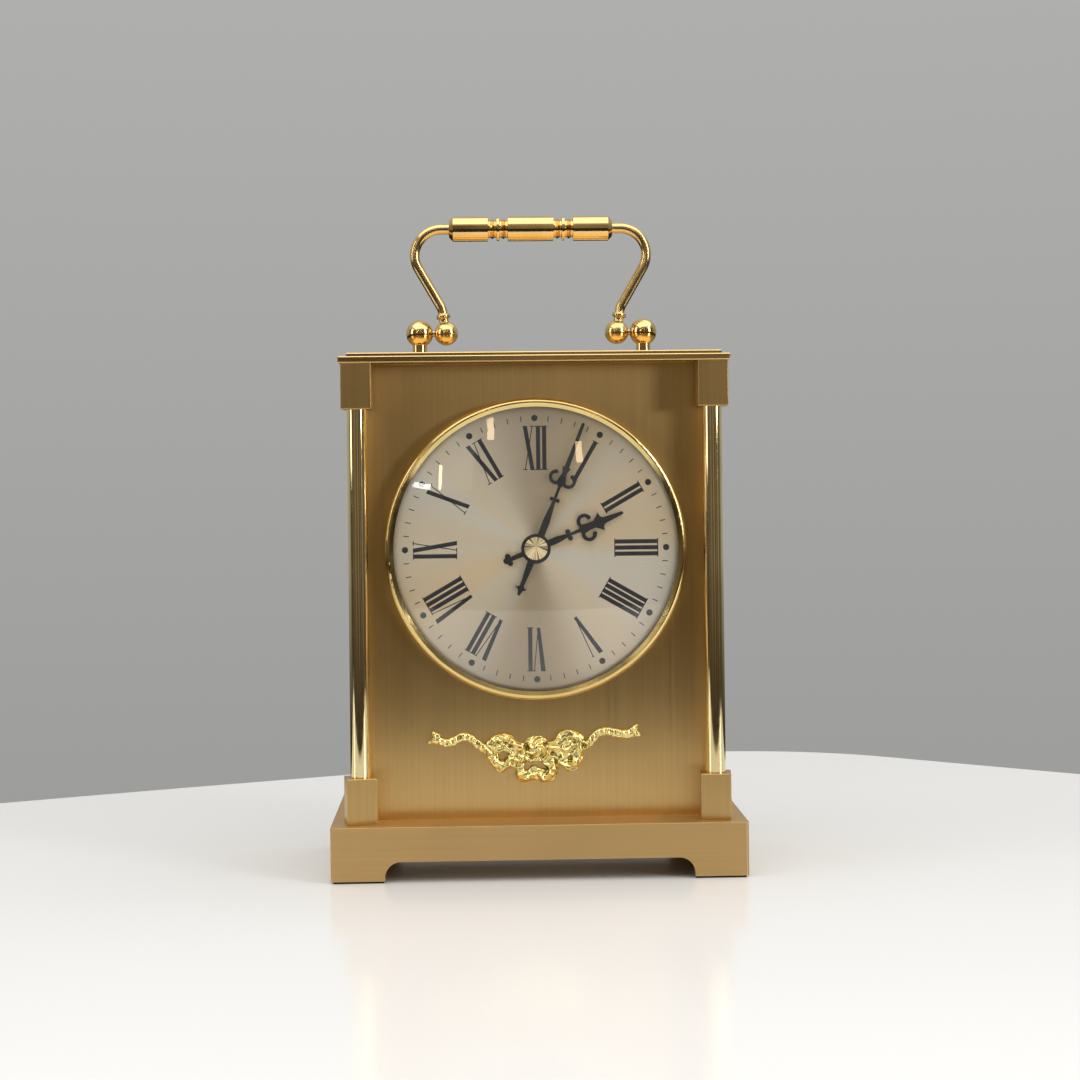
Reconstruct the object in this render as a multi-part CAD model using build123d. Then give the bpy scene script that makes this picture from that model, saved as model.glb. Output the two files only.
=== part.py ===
"""Carriage-style brass table clock with a quartz movement, a hinged rear door and a swinging
carrying handle.

Sizes are in millimetres. X runs to the right of the dial, Y to the back and Z up. The origin
lies on the table, under the middle of the base. The dial faces -Y.
"""

from build123d import *
import math
import os

os.makedirs("parts", exist_ok=True)

# Base plinth
base_width = 120.0
base_depth = 65.0
base_height = 16.0
base_wall = 3.0
base_deck = 3.0
base_bevel = 0.5
foot_width = 15.5
arch_height = 6.1
arch_radius = 4.6
felt_thickness = 0.6
felt_inset = 0.3
felt_length = 15.0

# Corner pillars: pedestal block, tube and capital block on a tie rod
side_overhang = 4.0
front_overhang = 4.4
block_side = 8.8
block_height = 13.3
block_bevel = 0.15
pillar_height = 133.1
column_diameter = 5.8
column_wall = 0.6
column_seat = 1.0
frame_thread = 3.0
tie_rod_grip = 6.0
frame_nut_flats = 5.5
frame_nut_height = 2.4
rod_spare = 0.6
front_left_turn = 9.0
front_right_turn = -5.5

# Top plate in two tiers
plate_overhang = 0.7
lower_tier = 1.9
upper_tier = 1.1
tier_inset = 2.35
plate_bevel = 0.25
plate_screw_diameter = 2.5
plate_screw_head = 4.6
plate_screw_length = 6.0

# Case box between the pillars
panel_setback = 14.1
panel_inset = 1.6
panel_thickness = 1.5
side_thickness = 1.2
door_stile = 12.0
door_rail = 14.5
door_lap = 4.0
door_thickness = 1.2
door_gap = 0.2
door_corner = 3.0
hinge_length = 12.0
hinge_spacing = 66.0
knuckle_diameter = 2.8
hinge_pin_diameter = 1.2
hinge_leaf = 0.6
hinge_leaf_width = 6.0
hinge_standoff = 1.6
knuckle_gap = 0.15
door_knob_diameter = 6.0
door_knob_length = 6.5
door_knob_inset = 5.0
door_knob_foot = 0.6

# Dial, bezel and glass
bezel_below_plate = 10.35
dial_diameter = 84.8
dial_thickness = 0.6
bezel_diameter = 88.0
bezel_opening = 83.0
bezel_depth = 4.6
bezel_wall = 1.3
bezel_lip = 0.8
bezel_round = 1.4
tab_width = 5.0
tab_thickness = 0.6
tab_hook = 1.5
glass_thickness = 1.0
glass_rise = 5.0
glass_rim = 1.0
gasket_width = 0.8

# Hands
minute_length = 39.2
minute_tail = 14.5
hour_length = 27.6
hour_tail = 10.2
hand_thickness = 0.35
hub_diameter = 8.6
hub_thickness = 0.5
cap_diameter = 6.8
cap_height = 1.3
minute_angle = 21.4
hour_angle = 68.0
hand_clearance = 0.3

# Ribbon ornament below the dial
ornament_x = -0.5
ornament_height = 36.4
ornament_left = 31.9
ornament_right = 30.9
ornament_thickness = 1.0
fold_height = 1.6
knot_radius = 3.4
ribbon_width = 2.0
fork_spread = 3.5
ornament_relief = 2.3
ornament_pin_diameter = 1.2
ornament_pin_spacing = 26.0

# Carrying handle
pivot_height = 7.1
pivot_pin_diameter = 2.0
post_spacing = 67.4
post_ball_diameter = 8.2
post_neck_diameter = 4.4
post_foot_diameter = 5.2
post_foot_height = 0.7
end_ball_diameter = 7.2
ball_gap = 0.3
wire_diameter = 3.0
arm_span = 69.8
arm_bend = 7.9
arm_lean = 30.0
arm_foot_bend = 4.5
collar_diameter = 4.2
collar_height = 1.1
collar_rise = 5.2
arm_foot_lean = 9.0
grip_rise = 31.4
grip_length = 49.1
grip_diameter = 7.5
grip_core_diameter = 5.2
grip_chamfer = 1.2
grip_groove_centre = 9.85
grip_groove_width = 6.0
grip_disc_width = 0.7
grip_bore_depth = 4.0

# Quartz movement behind the front panel
movement_side = 56.0
movement_depth = 16.0
shell_wall = 1.2
shell_split = 9.0
bushing_diameter = 6.0
hour_pipe_diameter = 4.6
minute_pipe_diameter = 2.8
arbor_diameter = 1.6
pivot_diameter = 0.9
nut_diameter = 8.4
nut_height = 0.8
train_plate_front = 4.5
train_plate_thickness = 0.8
support_post_diameter = 3.0
setting_shaft_diameter = 2.4
setting_knob_diameter = 11.0
setting_knob_length = 4.5
setting_knob_gap = 0.5
stud_diameter = 1.2
wheel_thickness = 0.8
battery_diameter = 14.2
battery_length = 50.0
battery_nub = 1.0
battery_nub_diameter = 5.5
magnet_diameter = 5.0
magnet_length = 1.8
stator_thickness = 0.8
stator_hole = 6.2
stator_width = 7.5
coil_diameter = 6.6
coil_length = 11.5
coil_core = 2.4
board_thickness = 0.8
crystal_diameter = 2.0
crystal_length = 6.0
contact_thickness = 0.4

# Wheel train: module and tooth numbers
motion_module = 0.5
cannon_teeth = 12
minute_wheel_teeth = 36
setting_teeth = 12
hour_pinion_teeth = 12
hour_wheel_teeth = 48
drive_module = 0.34
drive_wheel_teeth = 60
third_pinion_teeth = 8
fine_module = 0.25
third_wheel_teeth = 80
seconds_pinion_teeth = 10
seconds_wheel_teeth = 60
intermediate_pinion_teeth = 12
intermediate_wheel_teeth = 60
rotor_pinion_teeth = 10
pressure_angle = 20.0
addendum = 0.6
dedendum = 0.85
tooth_thinning = 0.12

# Clearances
fit = 0.05
slack = 0.1

# Levels and places worked out from the sizes above
pillar_x = base_width / 2 - side_overhang - block_side / 2
pillar_y = base_depth / 2 - front_overhang - block_side / 2
plate_bottom = base_height + pillar_height
tier_level = plate_bottom + lower_tier
plate_top = tier_level + upper_tier
column_bottom = base_height + block_height
column_top = plate_bottom - block_height
plate_half_width = pillar_x + block_side / 2 + plate_overhang
plate_half_depth = pillar_y + block_side / 2 + plate_overhang
panel_front = -(base_depth / 2 - panel_setback)
panel_width = 2 * (pillar_x - panel_inset)
dial_height = plate_bottom - bezel_below_plate - bezel_diameter / 2
door_opening_width = panel_width - 2 * door_stile
door_opening_height = pillar_height - 2 * door_rail
panel_back = panel_front + panel_thickness
rear_outside = -panel_front
rear_inside = rear_outside - panel_thickness
pivot_level = plate_top + pivot_height
grip_level = pivot_level + grip_rise
end_ball_x = post_spacing / 2 - (post_ball_diameter + end_ball_diameter) / 2 - ball_gap
door_height = (base_height + plate_bottom) / 2
door_half_width = door_opening_width / 2 + door_lap
door_half_height = door_opening_height / 2 + door_lap
hinge_x = -(door_half_width + knuckle_diameter / 2 + 2 * slack)
hinge_y = rear_outside + hinge_standoff
door_face = rear_outside + door_gap + door_thickness

# The dial frame: x to the right, y up and z out of the dial, from the panel's front face
dial_frame = Plane(origin=(0, panel_front, dial_height), x_dir=(1, 0, 0), z_dir=(0, -1, 0))


def block(low, high):
    """A box given by its lowest and highest corners."""
    size = [b - a for a, b in zip(low, high)]
    middle = [(a + b) / 2 for a, b in zip(low, high)]
    return Pos(*middle) * Box(*size)


def rod(diameter, low, high, x=0.0, y=0.0):
    """A round bar along Z from low to high."""
    return Pos(x, y, (low + high) / 2) * Cylinder(diameter / 2, high - low)


def rod_x(diameter, low, high, y=0.0, z=0.0):
    """A round bar along X from low to high."""
    return Pos((low + high) / 2, y, z) * Rot(0, 90, 0) * Cylinder(diameter / 2, high - low)


def rod_y(diameter, low, high, x=0.0, z=0.0):
    """A round bar along Y from low to high."""
    return Pos(x, (low + high) / 2, z) * Rot(90, 0, 0) * Cylinder(diameter / 2, high - low)


def turned(*curves):
    """A solid turned about Z from a closed outline of curves in the XZ plane."""
    return revolve(make_face(Curve() + list(curves)), Axis.Z)


def at_dial(shape):
    """Moves a shape from the dial frame to its place in the clock."""
    return dial_frame.location * shape


def corners():
    """The names and signs of the four corners of the clock."""
    for depth, sign_y in (("front", -1), ("rear", 1)):
        for side, sign_x in (("left", -1), ("right", 1)):
            yield f"{depth}_{side}", sign_x, sign_y


def base_plinth():
    """The hollow plinth with bracket feet and an arch through its front and back walls."""
    half_x = base_width / 2
    half_y = base_depth / 2
    body = block((-half_x, -half_y, felt_thickness), (half_x, half_y, base_height))
    body = chamfer(body.edges().filter_by(Axis.Z), base_bevel)
    body -= block(
        (base_wall - half_x, base_wall - half_y, 0),
        (half_x - base_wall, half_y - base_wall, base_height - base_deck),
    )
    arch_half = half_x - foot_width
    arch = Rectangle(2 * arch_half, 2 * arch_height)
    arch = fillet(arch.vertices(), min(arch_radius, 0.9 * arch_height))
    body -= extrude(Plane.XZ * arch, base_depth, both=True)
    for _, sign_x, sign_y in corners():
        place = (sign_x * pillar_x, sign_y * pillar_y)
        body -= rod(frame_thread + 2 * fit, 0, base_height + slack, *place)
    return body


def felt_feet():
    """Four angle-shaped felt pads under the corners of the plinth's walls."""
    pads = []
    for _, sign_x, sign_y in corners():
        outer_x = base_width / 2 - felt_inset - base_bevel
        outer_y = base_depth / 2 - felt_inset - base_bevel
        reach_x = foot_width - base_bevel - 2 * felt_inset
        wall_x = base_width / 2 - base_wall
        wall_y = base_depth / 2 - base_wall
        pad = block((outer_x - reach_x, outer_y - felt_length, 0), (outer_x, outer_y, felt_thickness))
        pad -= block((0, 0, -slack), (wall_x, wall_y, felt_thickness + slack))
        if sign_x < 0:
            pad = mirror(pad, Plane.YZ)
        if sign_y < 0:
            pad = mirror(pad, Plane.XZ)
        pads.append(pad)
    return pads


def pillar_block(turn):
    """A square block with bevelled edges, standing on its own origin and turned about its axis."""
    half = block_side / 2
    body = block((-half, -half, 0), (half, half, block_height))
    body = chamfer(body.edges(), block_bevel)
    return Rot(0, 0, turn) * body


def pedestal(sign_x, sign_y, turn):
    """The lower block of a pillar, bored for the tie rod and counterbored for the tube."""
    body = pillar_block(turn)
    body -= rod(frame_thread + 2 * fit, -slack, block_height + slack)
    body -= rod(column_diameter + 2 * fit, block_height - column_seat, block_height + slack)
    return Pos(sign_x * pillar_x, sign_y * pillar_y, base_height) * body


def column_tube(sign_x, sign_y):
    """The polished tube of a pillar, seated in both blocks."""
    low = column_bottom - column_seat
    high = column_top + column_seat
    body = rod(column_diameter, low, high) - rod(column_diameter - 2 * column_wall, low, high)
    return Pos(sign_x * pillar_x, sign_y * pillar_y, 0) * body


def capital(sign_x, sign_y):
    """The upper block of a pillar, tapped for the tie rod below and for the plate screw above."""
    body = pillar_block(0)
    body -= rod(column_diameter + 2 * fit, -slack, column_seat)
    body -= rod(frame_thread + 2 * fit, 0, tie_rod_grip + slack)
    screw_hole = plate_screw_length - lower_tier + slack
    body -= rod(plate_screw_diameter + 2 * fit, block_height - screw_hole, block_height + slack)
    return Pos(sign_x * pillar_x, sign_y * pillar_y, column_top) * body


def tie_rods():
    """The threaded rods that clamp the pillars on the base."""
    low = base_height - base_deck - frame_nut_height - rod_spare
    high = column_top + tie_rod_grip
    return [rod(frame_thread, low, high, x * pillar_x, y * pillar_y) for _, x, y in corners()]


def hex_nut(flats, height, bore):
    """A hexagon nut standing on its own origin."""
    body = extrude(RegularPolygon(flats / 2, 6, major_radius=False), height)
    return body - rod(bore, -slack, height + slack)


def frame_nuts():
    """The six equal nuts: four under the deck of the plinth and two under the top plate."""
    nut = hex_nut(frame_nut_flats, frame_nut_height, frame_thread + 2 * fit)
    deck = base_height - base_deck - frame_nut_height
    nuts = [Pos(x * pillar_x, y * pillar_y, deck) * nut for _, x, y in corners()]
    under_plate = plate_bottom - frame_nut_height
    return nuts + [Pos(sign * post_spacing / 2, 0, under_plate) * nut for sign in (-1, 1)]


def top_plate_lower():
    """The larger tier of the top plate, countersunk for its four screws."""
    body = block(
        (-plate_half_width, -plate_half_depth, plate_bottom),
        (plate_half_width, plate_half_depth, tier_level),
    )
    body = chamfer(body.edges(), plate_bevel)
    for _, x, y in corners():
        body -= Pos(x * pillar_x, y * pillar_y, 0) * plate_screw(fit)
    for sign in (-1, 1):
        body -= rod(frame_thread + 2 * fit, plate_bottom, tier_level, sign * post_spacing / 2)
    return body


def top_plate_upper():
    """The thin inset tier of the top plate, which covers the screw heads."""
    half_x = plate_half_width - tier_inset
    half_y = plate_half_depth - tier_inset
    body = block((-half_x, -half_y, tier_level), (half_x, half_y, plate_top))
    body = chamfer(body.edges().group_by(Axis.Z)[-1], plate_bevel)
    for sign in (-1, 1):
        body -= rod(frame_thread + 2 * fit, tier_level, plate_top, sign * post_spacing / 2)
    return body


def plate_screw(extra=0.0):
    """A countersunk screw with its head flush in the lower tier, grown all round by extra."""
    head_radius = plate_screw_head / 2
    shank_radius = plate_screw_diameter / 2
    cone = head_radius - shank_radius
    shank = rod(plate_screw_diameter + 2 * extra, tier_level - plate_screw_length, tier_level)
    head = Pos(0, 0, tier_level - cone / 2) * Cone(shank_radius + extra, head_radius + extra, cone)
    return shank + head


def top_plate_screws():
    """The four screws that hold the top plate on the capitals."""
    return [Pos(x * pillar_x, y * pillar_y, 0) * plate_screw() for _, x, y in corners()]


def front_panel():
    """The brushed front panel with holes for the bushing, the bezel tabs and the ornament pins."""
    half = panel_width / 2
    body = block((-half, panel_front, base_height), (half, panel_back, plate_bottom))
    body -= rod_y(bushing_diameter + 2 * fit, panel_front, panel_back, 0, dial_height)
    for angle in tab_angles():
        body -= at_dial(Rot(0, 0, angle) * bezel_tab(fit))
    for side in (-1, 1):
        x = ornament_x + side * ornament_pin_spacing / 2
        body -= rod_y(ornament_pin_diameter + 2 * fit, panel_front, panel_back, x, ornament_height)
    return body


def side_panel(sign):
    """A plain side panel between the front panel and the rear frame."""
    outer = panel_width / 2
    body = block(
        (outer - side_thickness, panel_back, base_height), (outer, rear_inside, plate_bottom)
    )
    return body if sign > 0 else mirror(body, Plane.YZ)


def door_opening():
    """The opening of the rear frame, as a solid that runs through it."""
    opening = Rectangle(door_opening_width, door_opening_height)
    opening = fillet(opening.vertices(), door_corner)
    return Pos(0, (rear_inside + rear_outside) / 2, door_height) * extrude(
        Plane.XZ * opening, panel_thickness, both=True
    )


def rear_frame():
    """The back of the case, with the door opening."""
    half = panel_width / 2
    body = block((-half, rear_inside, base_height), (half, rear_outside, plate_bottom))
    return body - door_opening()


def rear_door():
    """The hinged door that laps over the opening."""
    outline = Rectangle(2 * door_half_width, 2 * door_half_height)
    outline = fillet(outline.vertices(), door_corner)
    body = Pos(0, door_face, door_height) * extrude(Plane.XZ * outline, door_thickness)
    knob_x = door_half_width - door_knob_inset
    return body - rod_y(
        door_knob_diameter / 3 + 2 * fit, door_face - door_thickness, door_face, knob_x, door_height
    )


def hinge_levels():
    """The heights of the middles of the two hinges."""
    return (door_height - hinge_spacing / 2, door_height + hinge_spacing / 2)


def knuckle(low, high):
    """One knuckle of a hinge, bored for the pin."""
    body = rod(knuckle_diameter, low, high) - rod(hinge_pin_diameter + 2 * fit, low, high)
    return Pos(hinge_x, hinge_y, 0) * body


def hinge_bore(level):
    """The clear way for the pin and the turning leaf, as a solid."""
    half = hinge_length / 2
    return Pos(hinge_x, hinge_y, 0) * rod(hinge_pin_diameter + 2 * fit, level - half, level + half)


def door_hinge_frame_leaves():
    """The two hinge leaves on the frame, each with an upper and a lower knuckle."""
    leaves = []
    third = hinge_length / 3
    for level in hinge_levels():
        low = level - hinge_length / 2
        high = level + hinge_length / 2
        leaf = block(
            (hinge_x - hinge_leaf_width, rear_outside, low), (hinge_x, rear_outside + hinge_leaf, high)
        )
        leaf -= block(
            (hinge_x - knuckle_diameter, rear_outside, low + third),
            (hinge_x, rear_outside + hinge_leaf, high - third),
        )
        leaf += knuckle(low, low + third) + knuckle(high - third, high)
        leaves.append(leaf - hinge_bore(level))
    return leaves


def door_hinge_door_leaves():
    """The two hinge leaves on the door, each with the middle knuckle."""
    leaves = []
    half = hinge_length / 6 - knuckle_gap
    for level in hinge_levels():
        low = (hinge_x, door_face, level - half)
        high = (hinge_x + hinge_leaf_width, door_face + hinge_leaf, level + half)
        leaf = block(low, high)
        leaf += knuckle(level - half, level + half)
        leaves.append(leaf - hinge_bore(level))
    return leaves


def door_hinge_pins():
    """The two hinge pins."""
    half = hinge_length / 2
    return [
        Pos(hinge_x, hinge_y, 0) * rod(hinge_pin_diameter, level - half, level + half)
        for level in hinge_levels()
    ]


def door_knob():
    """The ball-shaped pull knob with its foot, its shank riveted through the door."""
    radius = door_knob_diameter / 2
    shank = door_knob_diameter / 3
    knob = Pos(0, 0, door_knob_length - radius) * Sphere(radius)
    knob += rod(1.2 * shank, 0, door_knob_length - radius)
    knob += rod(2 * shank, 0, door_knob_foot)
    knob += rod(shank, -door_thickness, door_knob_foot)
    knob_x = door_half_width - door_knob_inset
    return Pos(knob_x, door_face, door_height) * Rot(-90, 0, 0) * knob


def tab_angles():
    """The angles of the three bezel tabs about the dial's centre."""
    return (90, 210, 330)


def bezel_tab(extra=0.0):
    """A bezel tab that passes straight back through the panel, grown all round by extra."""
    middle = bezel_diameter / 2 - bezel_wall / 2
    half_thickness = tab_thickness / 2 + extra
    half_width = tab_width / 2 + extra
    reach = panel_thickness + tab_thickness + extra
    low = (middle - half_thickness, -half_width, -reach)
    high = (middle + half_thickness, half_width, extra)
    return block(low, high)


def bezel_hook():
    """The bent end of a bezel tab, behind the panel."""
    outer = bezel_diameter / 2 - bezel_wall / 2 + tab_thickness / 2
    half_width = tab_width / 2
    back = panel_thickness + fit
    return block(
        (outer - tab_hook - tab_thickness, -half_width, -back - tab_thickness), (outer, half_width, -back)
    )


def bezel_ring():
    """The polished bezel: a wall, a rounded shoulder and an inward lip over the glass."""
    outer = bezel_diameter / 2
    inner = outer - bezel_wall
    opening = bezel_opening / 2
    under = bezel_depth - bezel_lip
    shoulder = (outer - bezel_round, bezel_depth)
    cut = bezel_round * (1 - math.sqrt(0.5))
    middle = (outer - cut, bezel_depth - cut)
    profile = [
        Line((inner, 0), (outer, 0)),
        Line((outer, 0), (outer, bezel_depth - bezel_round)),
        ThreePointArc((outer, bezel_depth - bezel_round), middle, shoulder),
        Line(shoulder, (opening, bezel_depth - bezel_lip / 2)),
        Line((opening, bezel_depth - bezel_lip / 2), (opening, under)),
        Line((opening, under), (inner, under)),
        Line((inner, under), (inner, 0)),
    ]
    ring = turned(*[Plane.XZ * curve for curve in profile])
    for angle in tab_angles():
        ring += Rot(0, 0, angle) * (bezel_tab() + bezel_hook())
    return at_dial(ring)


def glass_levels():
    """The back and the front of the glass's flat rim, above the panel."""
    front = bezel_depth - bezel_lip - fit
    return front - glass_thickness, front


def dome_face(rim, level, rise):
    """The curve of a dome from its top to its rim."""
    radius = (rim * rim + rise * rise) / (2 * rise)
    half = rim / 2
    height = level + rise - radius + math.sqrt(radius * radius - half * half)
    return ThreePointArc((0, level + rise), (half, height), (rim, level))


def glass_crystal():
    """The domed glass with a flat rim that sits behind the bezel's lip."""
    edge = bezel_diameter / 2 - bezel_wall - fit
    rim = bezel_opening / 2 - glass_rim
    back, front = glass_levels()
    profile = [
        dome_face(rim, front, glass_rise),
        Line((rim, front), (edge, front)),
        Line((edge, front), (edge, back)),
        Line((edge, back), (rim, back)),
        dome_face(rim, back, glass_rise),
        Line((0, back + glass_rise), (0, front + glass_rise)),
    ]
    return at_dial(turned(*[Plane.XZ * curve for curve in profile]))


def glass_gasket():
    """The spacer ring between the dial and the rim of the glass."""
    outer = 2 * (bezel_diameter / 2 - bezel_wall - fit)
    back, _ = glass_levels()
    ring = rod(outer, dial_thickness, back) - rod(outer - 2 * gasket_width, dial_thickness, back)
    return at_dial(ring)


def dial_plate():
    """The flat round dial, held on the panel by the bezel."""
    disc = rod(dial_diameter, 0, dial_thickness)
    return at_dial(disc - rod(bushing_diameter + 2 * fit, 0, dial_thickness))


def disc_at(diameter, x, y):
    """A round face with its middle at x and y."""
    return Pos(x, y) * Circle(diameter / 2)


def blade(*stations):
    """A symmetric face along +Y through stations of distance and width, with straight sides."""
    right = [(width / 2, distance) for distance, width in stations]
    left = [(-x, y) for x, y in reversed(right)]
    return make_face(Polyline(*right, *left, close=True))


def scroll(side, centre, reach, radius, stroke):
    """A C-shaped scroll that leaves the stem, runs round its centre and ends in a round tip."""
    start, turn = (215, 215) if side > 0 else (325, -215)
    arc = CenterArc((side * reach, centre), radius, start, turn)
    band = trace(arc, stroke)
    tip = arc @ 1
    return band + disc_at(1.2 * stroke, tip.X, tip.Y)


def barbs(root, tip, span, waist, neck):
    """An arrowhead with two swept barbs: the face narrows from the barbs back to the waist."""
    profile = [(waist / 2, root), (waist / 2, root + (tip - root) * 0.25)]
    right = [
        Line((0, root), profile[0]),
        Line(*profile),
        ThreePointArc(profile[1], (span * 0.34, root + (tip - root) * 0.66), (span / 2, tip)),
        ThreePointArc((span / 2, tip), (span * 0.28, tip + 0.1), (neck / 2, tip + (tip - root) * 0.25)),
        Line((neck / 2, tip + (tip - root) * 0.25), (0, tip + (tip - root) * 0.25)),
        Line((0, tip + (tip - root) * 0.25), (0, root)),
    ]
    half = make_face(Curve() + right)
    return half + mirror(half, Plane.YZ)


def cross_bar(distance, span, thickness):
    """A short bar across the stem with its ends drawn out."""
    bar = Pos(0, distance) * Rectangle(span, thickness * 0.6)
    return bar + disc_at(thickness, span / 2 - thickness / 3, distance) + disc_at(
        thickness, thickness / 3 - span / 2, distance
    )


def minute_face():
    """The pierced outline of the minute hand, pointing along +Y."""
    bar = 0.39 * minute_length
    scrolls = 0.553 * minute_length
    crown = 0.645 * minute_length
    face = blade((0, 1.8), (0.22 * minute_length, 2.1), (bar, 0.8), (scrolls, 0.9))
    face += cross_bar(bar, 2.6, 1.2)
    for side in (-1, 1):
        face += scroll(side, scrolls, 1.95, 1.65, 1.0)
    face += blade((scrolls - 2.4, 1.0), (scrolls - 1.2, 2.8), (scrolls + 0.6, 1.9), (scrolls + 1.6, 1.3))
    face += barbs(scrolls + 1.0, crown, 2.7, 1.3, 1.4)
    tip_width = 0.9
    face += blade((crown, 1.4), (minute_length - tip_width / 2, tip_width))
    face += disc_at(tip_width, 0, minute_length - tip_width / 2)
    fleur = 0.84 * minute_tail
    face += blade((-fleur, 1.1), (0, 2.5))
    face += leaf_tail(fleur, minute_tail, 3.8)
    return face


def leaf_tail(root, tip, span):
    """The small arrow at the end of the minute hand's tail."""
    shoulder = (0.55, 0.9 - root)
    barb = (span / 2, 0.1 - root)
    neck = (0.75, -root - 0.75)
    right = [
        Line((0, shoulder[1]), shoulder),
        ThreePointArc(shoulder, (span * 0.26, 0.25 - root), barb),
        ThreePointArc(barb, (span * 0.33, -root - 0.4), neck),
        Line(neck, (0.3, -tip)),
        Line((0.3, -tip), (0, -tip)),
        Line((0, -tip), (0, shoulder[1])),
    ]
    half = make_face(Curve() + right)
    return half + mirror(half, Plane.YZ)


def hour_face():
    """The pierced outline of the hour hand, pointing along +Y."""
    bar = 0.38 * hour_length
    scrolls = 0.583 * hour_length
    crown = 0.755 * hour_length
    face = blade((0, 1.9), (0.25 * hour_length, 2.0), (bar, 0.9), (scrolls, 1.0))
    face += cross_bar(bar, 3.0, 1.5)
    for side in (-1, 1):
        face += scroll(side, scrolls, 1.95, 1.7, 1.05)
    face += blade((scrolls - 2.4, 1.0), (scrolls - 1.2, 2.8), (scrolls + 0.8, 2.1), (crown - 1.2, 2.2))
    face += barbs(scrolls + 1.6, crown, 5.8, 2.0, 2.0)
    tip_width = 0.9
    face += blade((crown, 2.1), (hour_length - tip_width / 2, tip_width))
    face += disc_at(tip_width, 0, hour_length - tip_width / 2)
    lobe = 0.9
    face += blade((-(hour_tail - lobe), 1.2), (0, 1.7))
    face += disc_at(2 * lobe, 0, lobe - hour_tail)
    for side in (-1, 1):
        face += disc_at(1.8 * lobe, side * 1.15 * lobe, 1.9 * lobe - hour_tail)
    return face


def hand_levels():
    """The backs of the hour hand's hub and the minute hand's hub, above the panel."""
    hour = dial_thickness + nut_height + hand_clearance / 2
    return hour, hour + hub_thickness + hand_clearance


def hand(face, level, bore, angle):
    """A flat hand with a round hub, turned clockwise to its angle."""
    body = Pos(0, 0, level) * extrude(face, hand_thickness)
    body += rod(hub_diameter, level, level + hub_thickness)
    body -= rod(bore, level - slack, level + hub_thickness + slack)
    return at_dial(Rot(0, 0, -angle) * body)


def hour_hand():
    """The shorter hand on the hour pipe."""
    return hand(hour_face(), hand_levels()[0], hour_pipe_diameter, hour_angle)


def minute_hand():
    """The longer hand on the minute arbor."""
    return hand(minute_face(), hand_levels()[1], minute_pipe_diameter, minute_angle)


def centre_cap():
    """The conical brass cap that closes the hub of the minute hand."""
    base = hand_levels()[1] + hub_thickness
    radius = cap_diameter / 2
    skirt = cap_height / 3
    body = rod(cap_diameter, base, base + skirt)
    body += Pos(0, 0, base + skirt + (cap_height - skirt) / 2) * Cone(radius, 0.2, cap_height - skirt)
    return at_dial(body - rod(minute_pipe_diameter + 2 * fit, base - slack, base + skirt))


def ribbon(points, width):
    """A ribbon of even width along a smooth curve through the points."""
    return trace(Spline(*points), width)


def fork(tip, notch, root, lean):
    """The swallow-tail end of a ribbon, with its two tips above and below the notch."""
    across, level = tip
    upper = (across - lean, level + fork_spread / 2)
    lower = (across, level - fork_spread / 2)
    root_low = (root, level - 0.65 * ribbon_width)
    root_high = (root, level + 0.35 * ribbon_width)
    return make_face(Polyline(upper, (notch, level), lower, root_low, root_high, close=True))


def ribbon_tails():
    """The two wavy tails of the ribbon, left and right of the bow."""
    left = [
        (-29.6, 2.9), (-27.3, 2.0), (-25.1, 1.9), (-23.0, 2.9), (-20.8, 3.6), (-18.7, 2.6), (-14.0, -0.4),
    ]
    right = [
        (13.0, 0.3), (15.6, 1.3), (17.7, 3.6), (20.0, 4.5), (23.0, 4.1), (25.5, 3.7), (29.2, 4.2),
    ]
    yield ribbon(left, ribbon_width)
    yield ribbon(right, ribbon_width)
    yield fork((-ornament_left, 3.5), -29.9, -28.0, -1.4)
    yield fork((ornament_right, 4.7), 29.4, 27.8, 1.0)


def bow_outline():
    """The outer edge of the bow, from the left tail over the loops and the knot and back below."""
    upper = [
        (-14.6, 0.2), (-14.5, 1.6), (-12.5, 3.3), (-10.0, 4.2), (-7.6, 3.8), (-6.0, 2.1),
        (-3.7, 1.0), (-2.8, 2.2), (-1.3, 3.1), (0.0, 3.4), (1.4, 3.1), (2.9, 2.1), (3.6, 1.2),
        (5.2, 2.0), (6.6, 4.0), (8.6, 5.0), (11.2, 4.6), (14.1, 2.2), (13.4, 0.4),
    ]
    lower = [
        (13.7, -1.2), (12.6, -5.2), (11.0, -6.7), (9.0, -6.8), (7.6, -5.5), (6.0, -5.4),
        (5.8, -7.6), (4.6, -9.4), (2.3, -9.9), (-0.4, -9.1), (-3.6, -9.9), (-5.8, -8.3),
        (-6.3, -5.6), (-7.8, -5.6), (-9.4, -6.7), (-11.6, -6.4), (-13.2, -4.5), (-14.3, -2.2),
    ]
    return make_face(Spline(*upper, *lower, periodic=True))


def bow_openings():
    """The openings in the left loop, under the knot and in the right loop."""
    left = [(-11.2, -1.6), (-9.7, -1.0), (-8.0, -1.4), (-8.4, -2.4), (-10.2, -3.6), (-11.1, -2.7)]
    middle = [
        (-2.5, -3.7), (0, -3.8), (2.0, -3.7), (2.3, -4.9), (3.6, -6.4),
        (2.3, -6.4), (0.2, -5.6), (-1.2, -5.4), (-3.2, -6.9), (-3.7, -6.1),
    ]
    right = [(9.4, -2.7), (10.5, -2.5), (10.4, -3.5), (9.4, -3.9)]
    return [make_face(Spline(*points, periodic=True)) for points in (left, middle, right)]


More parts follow.
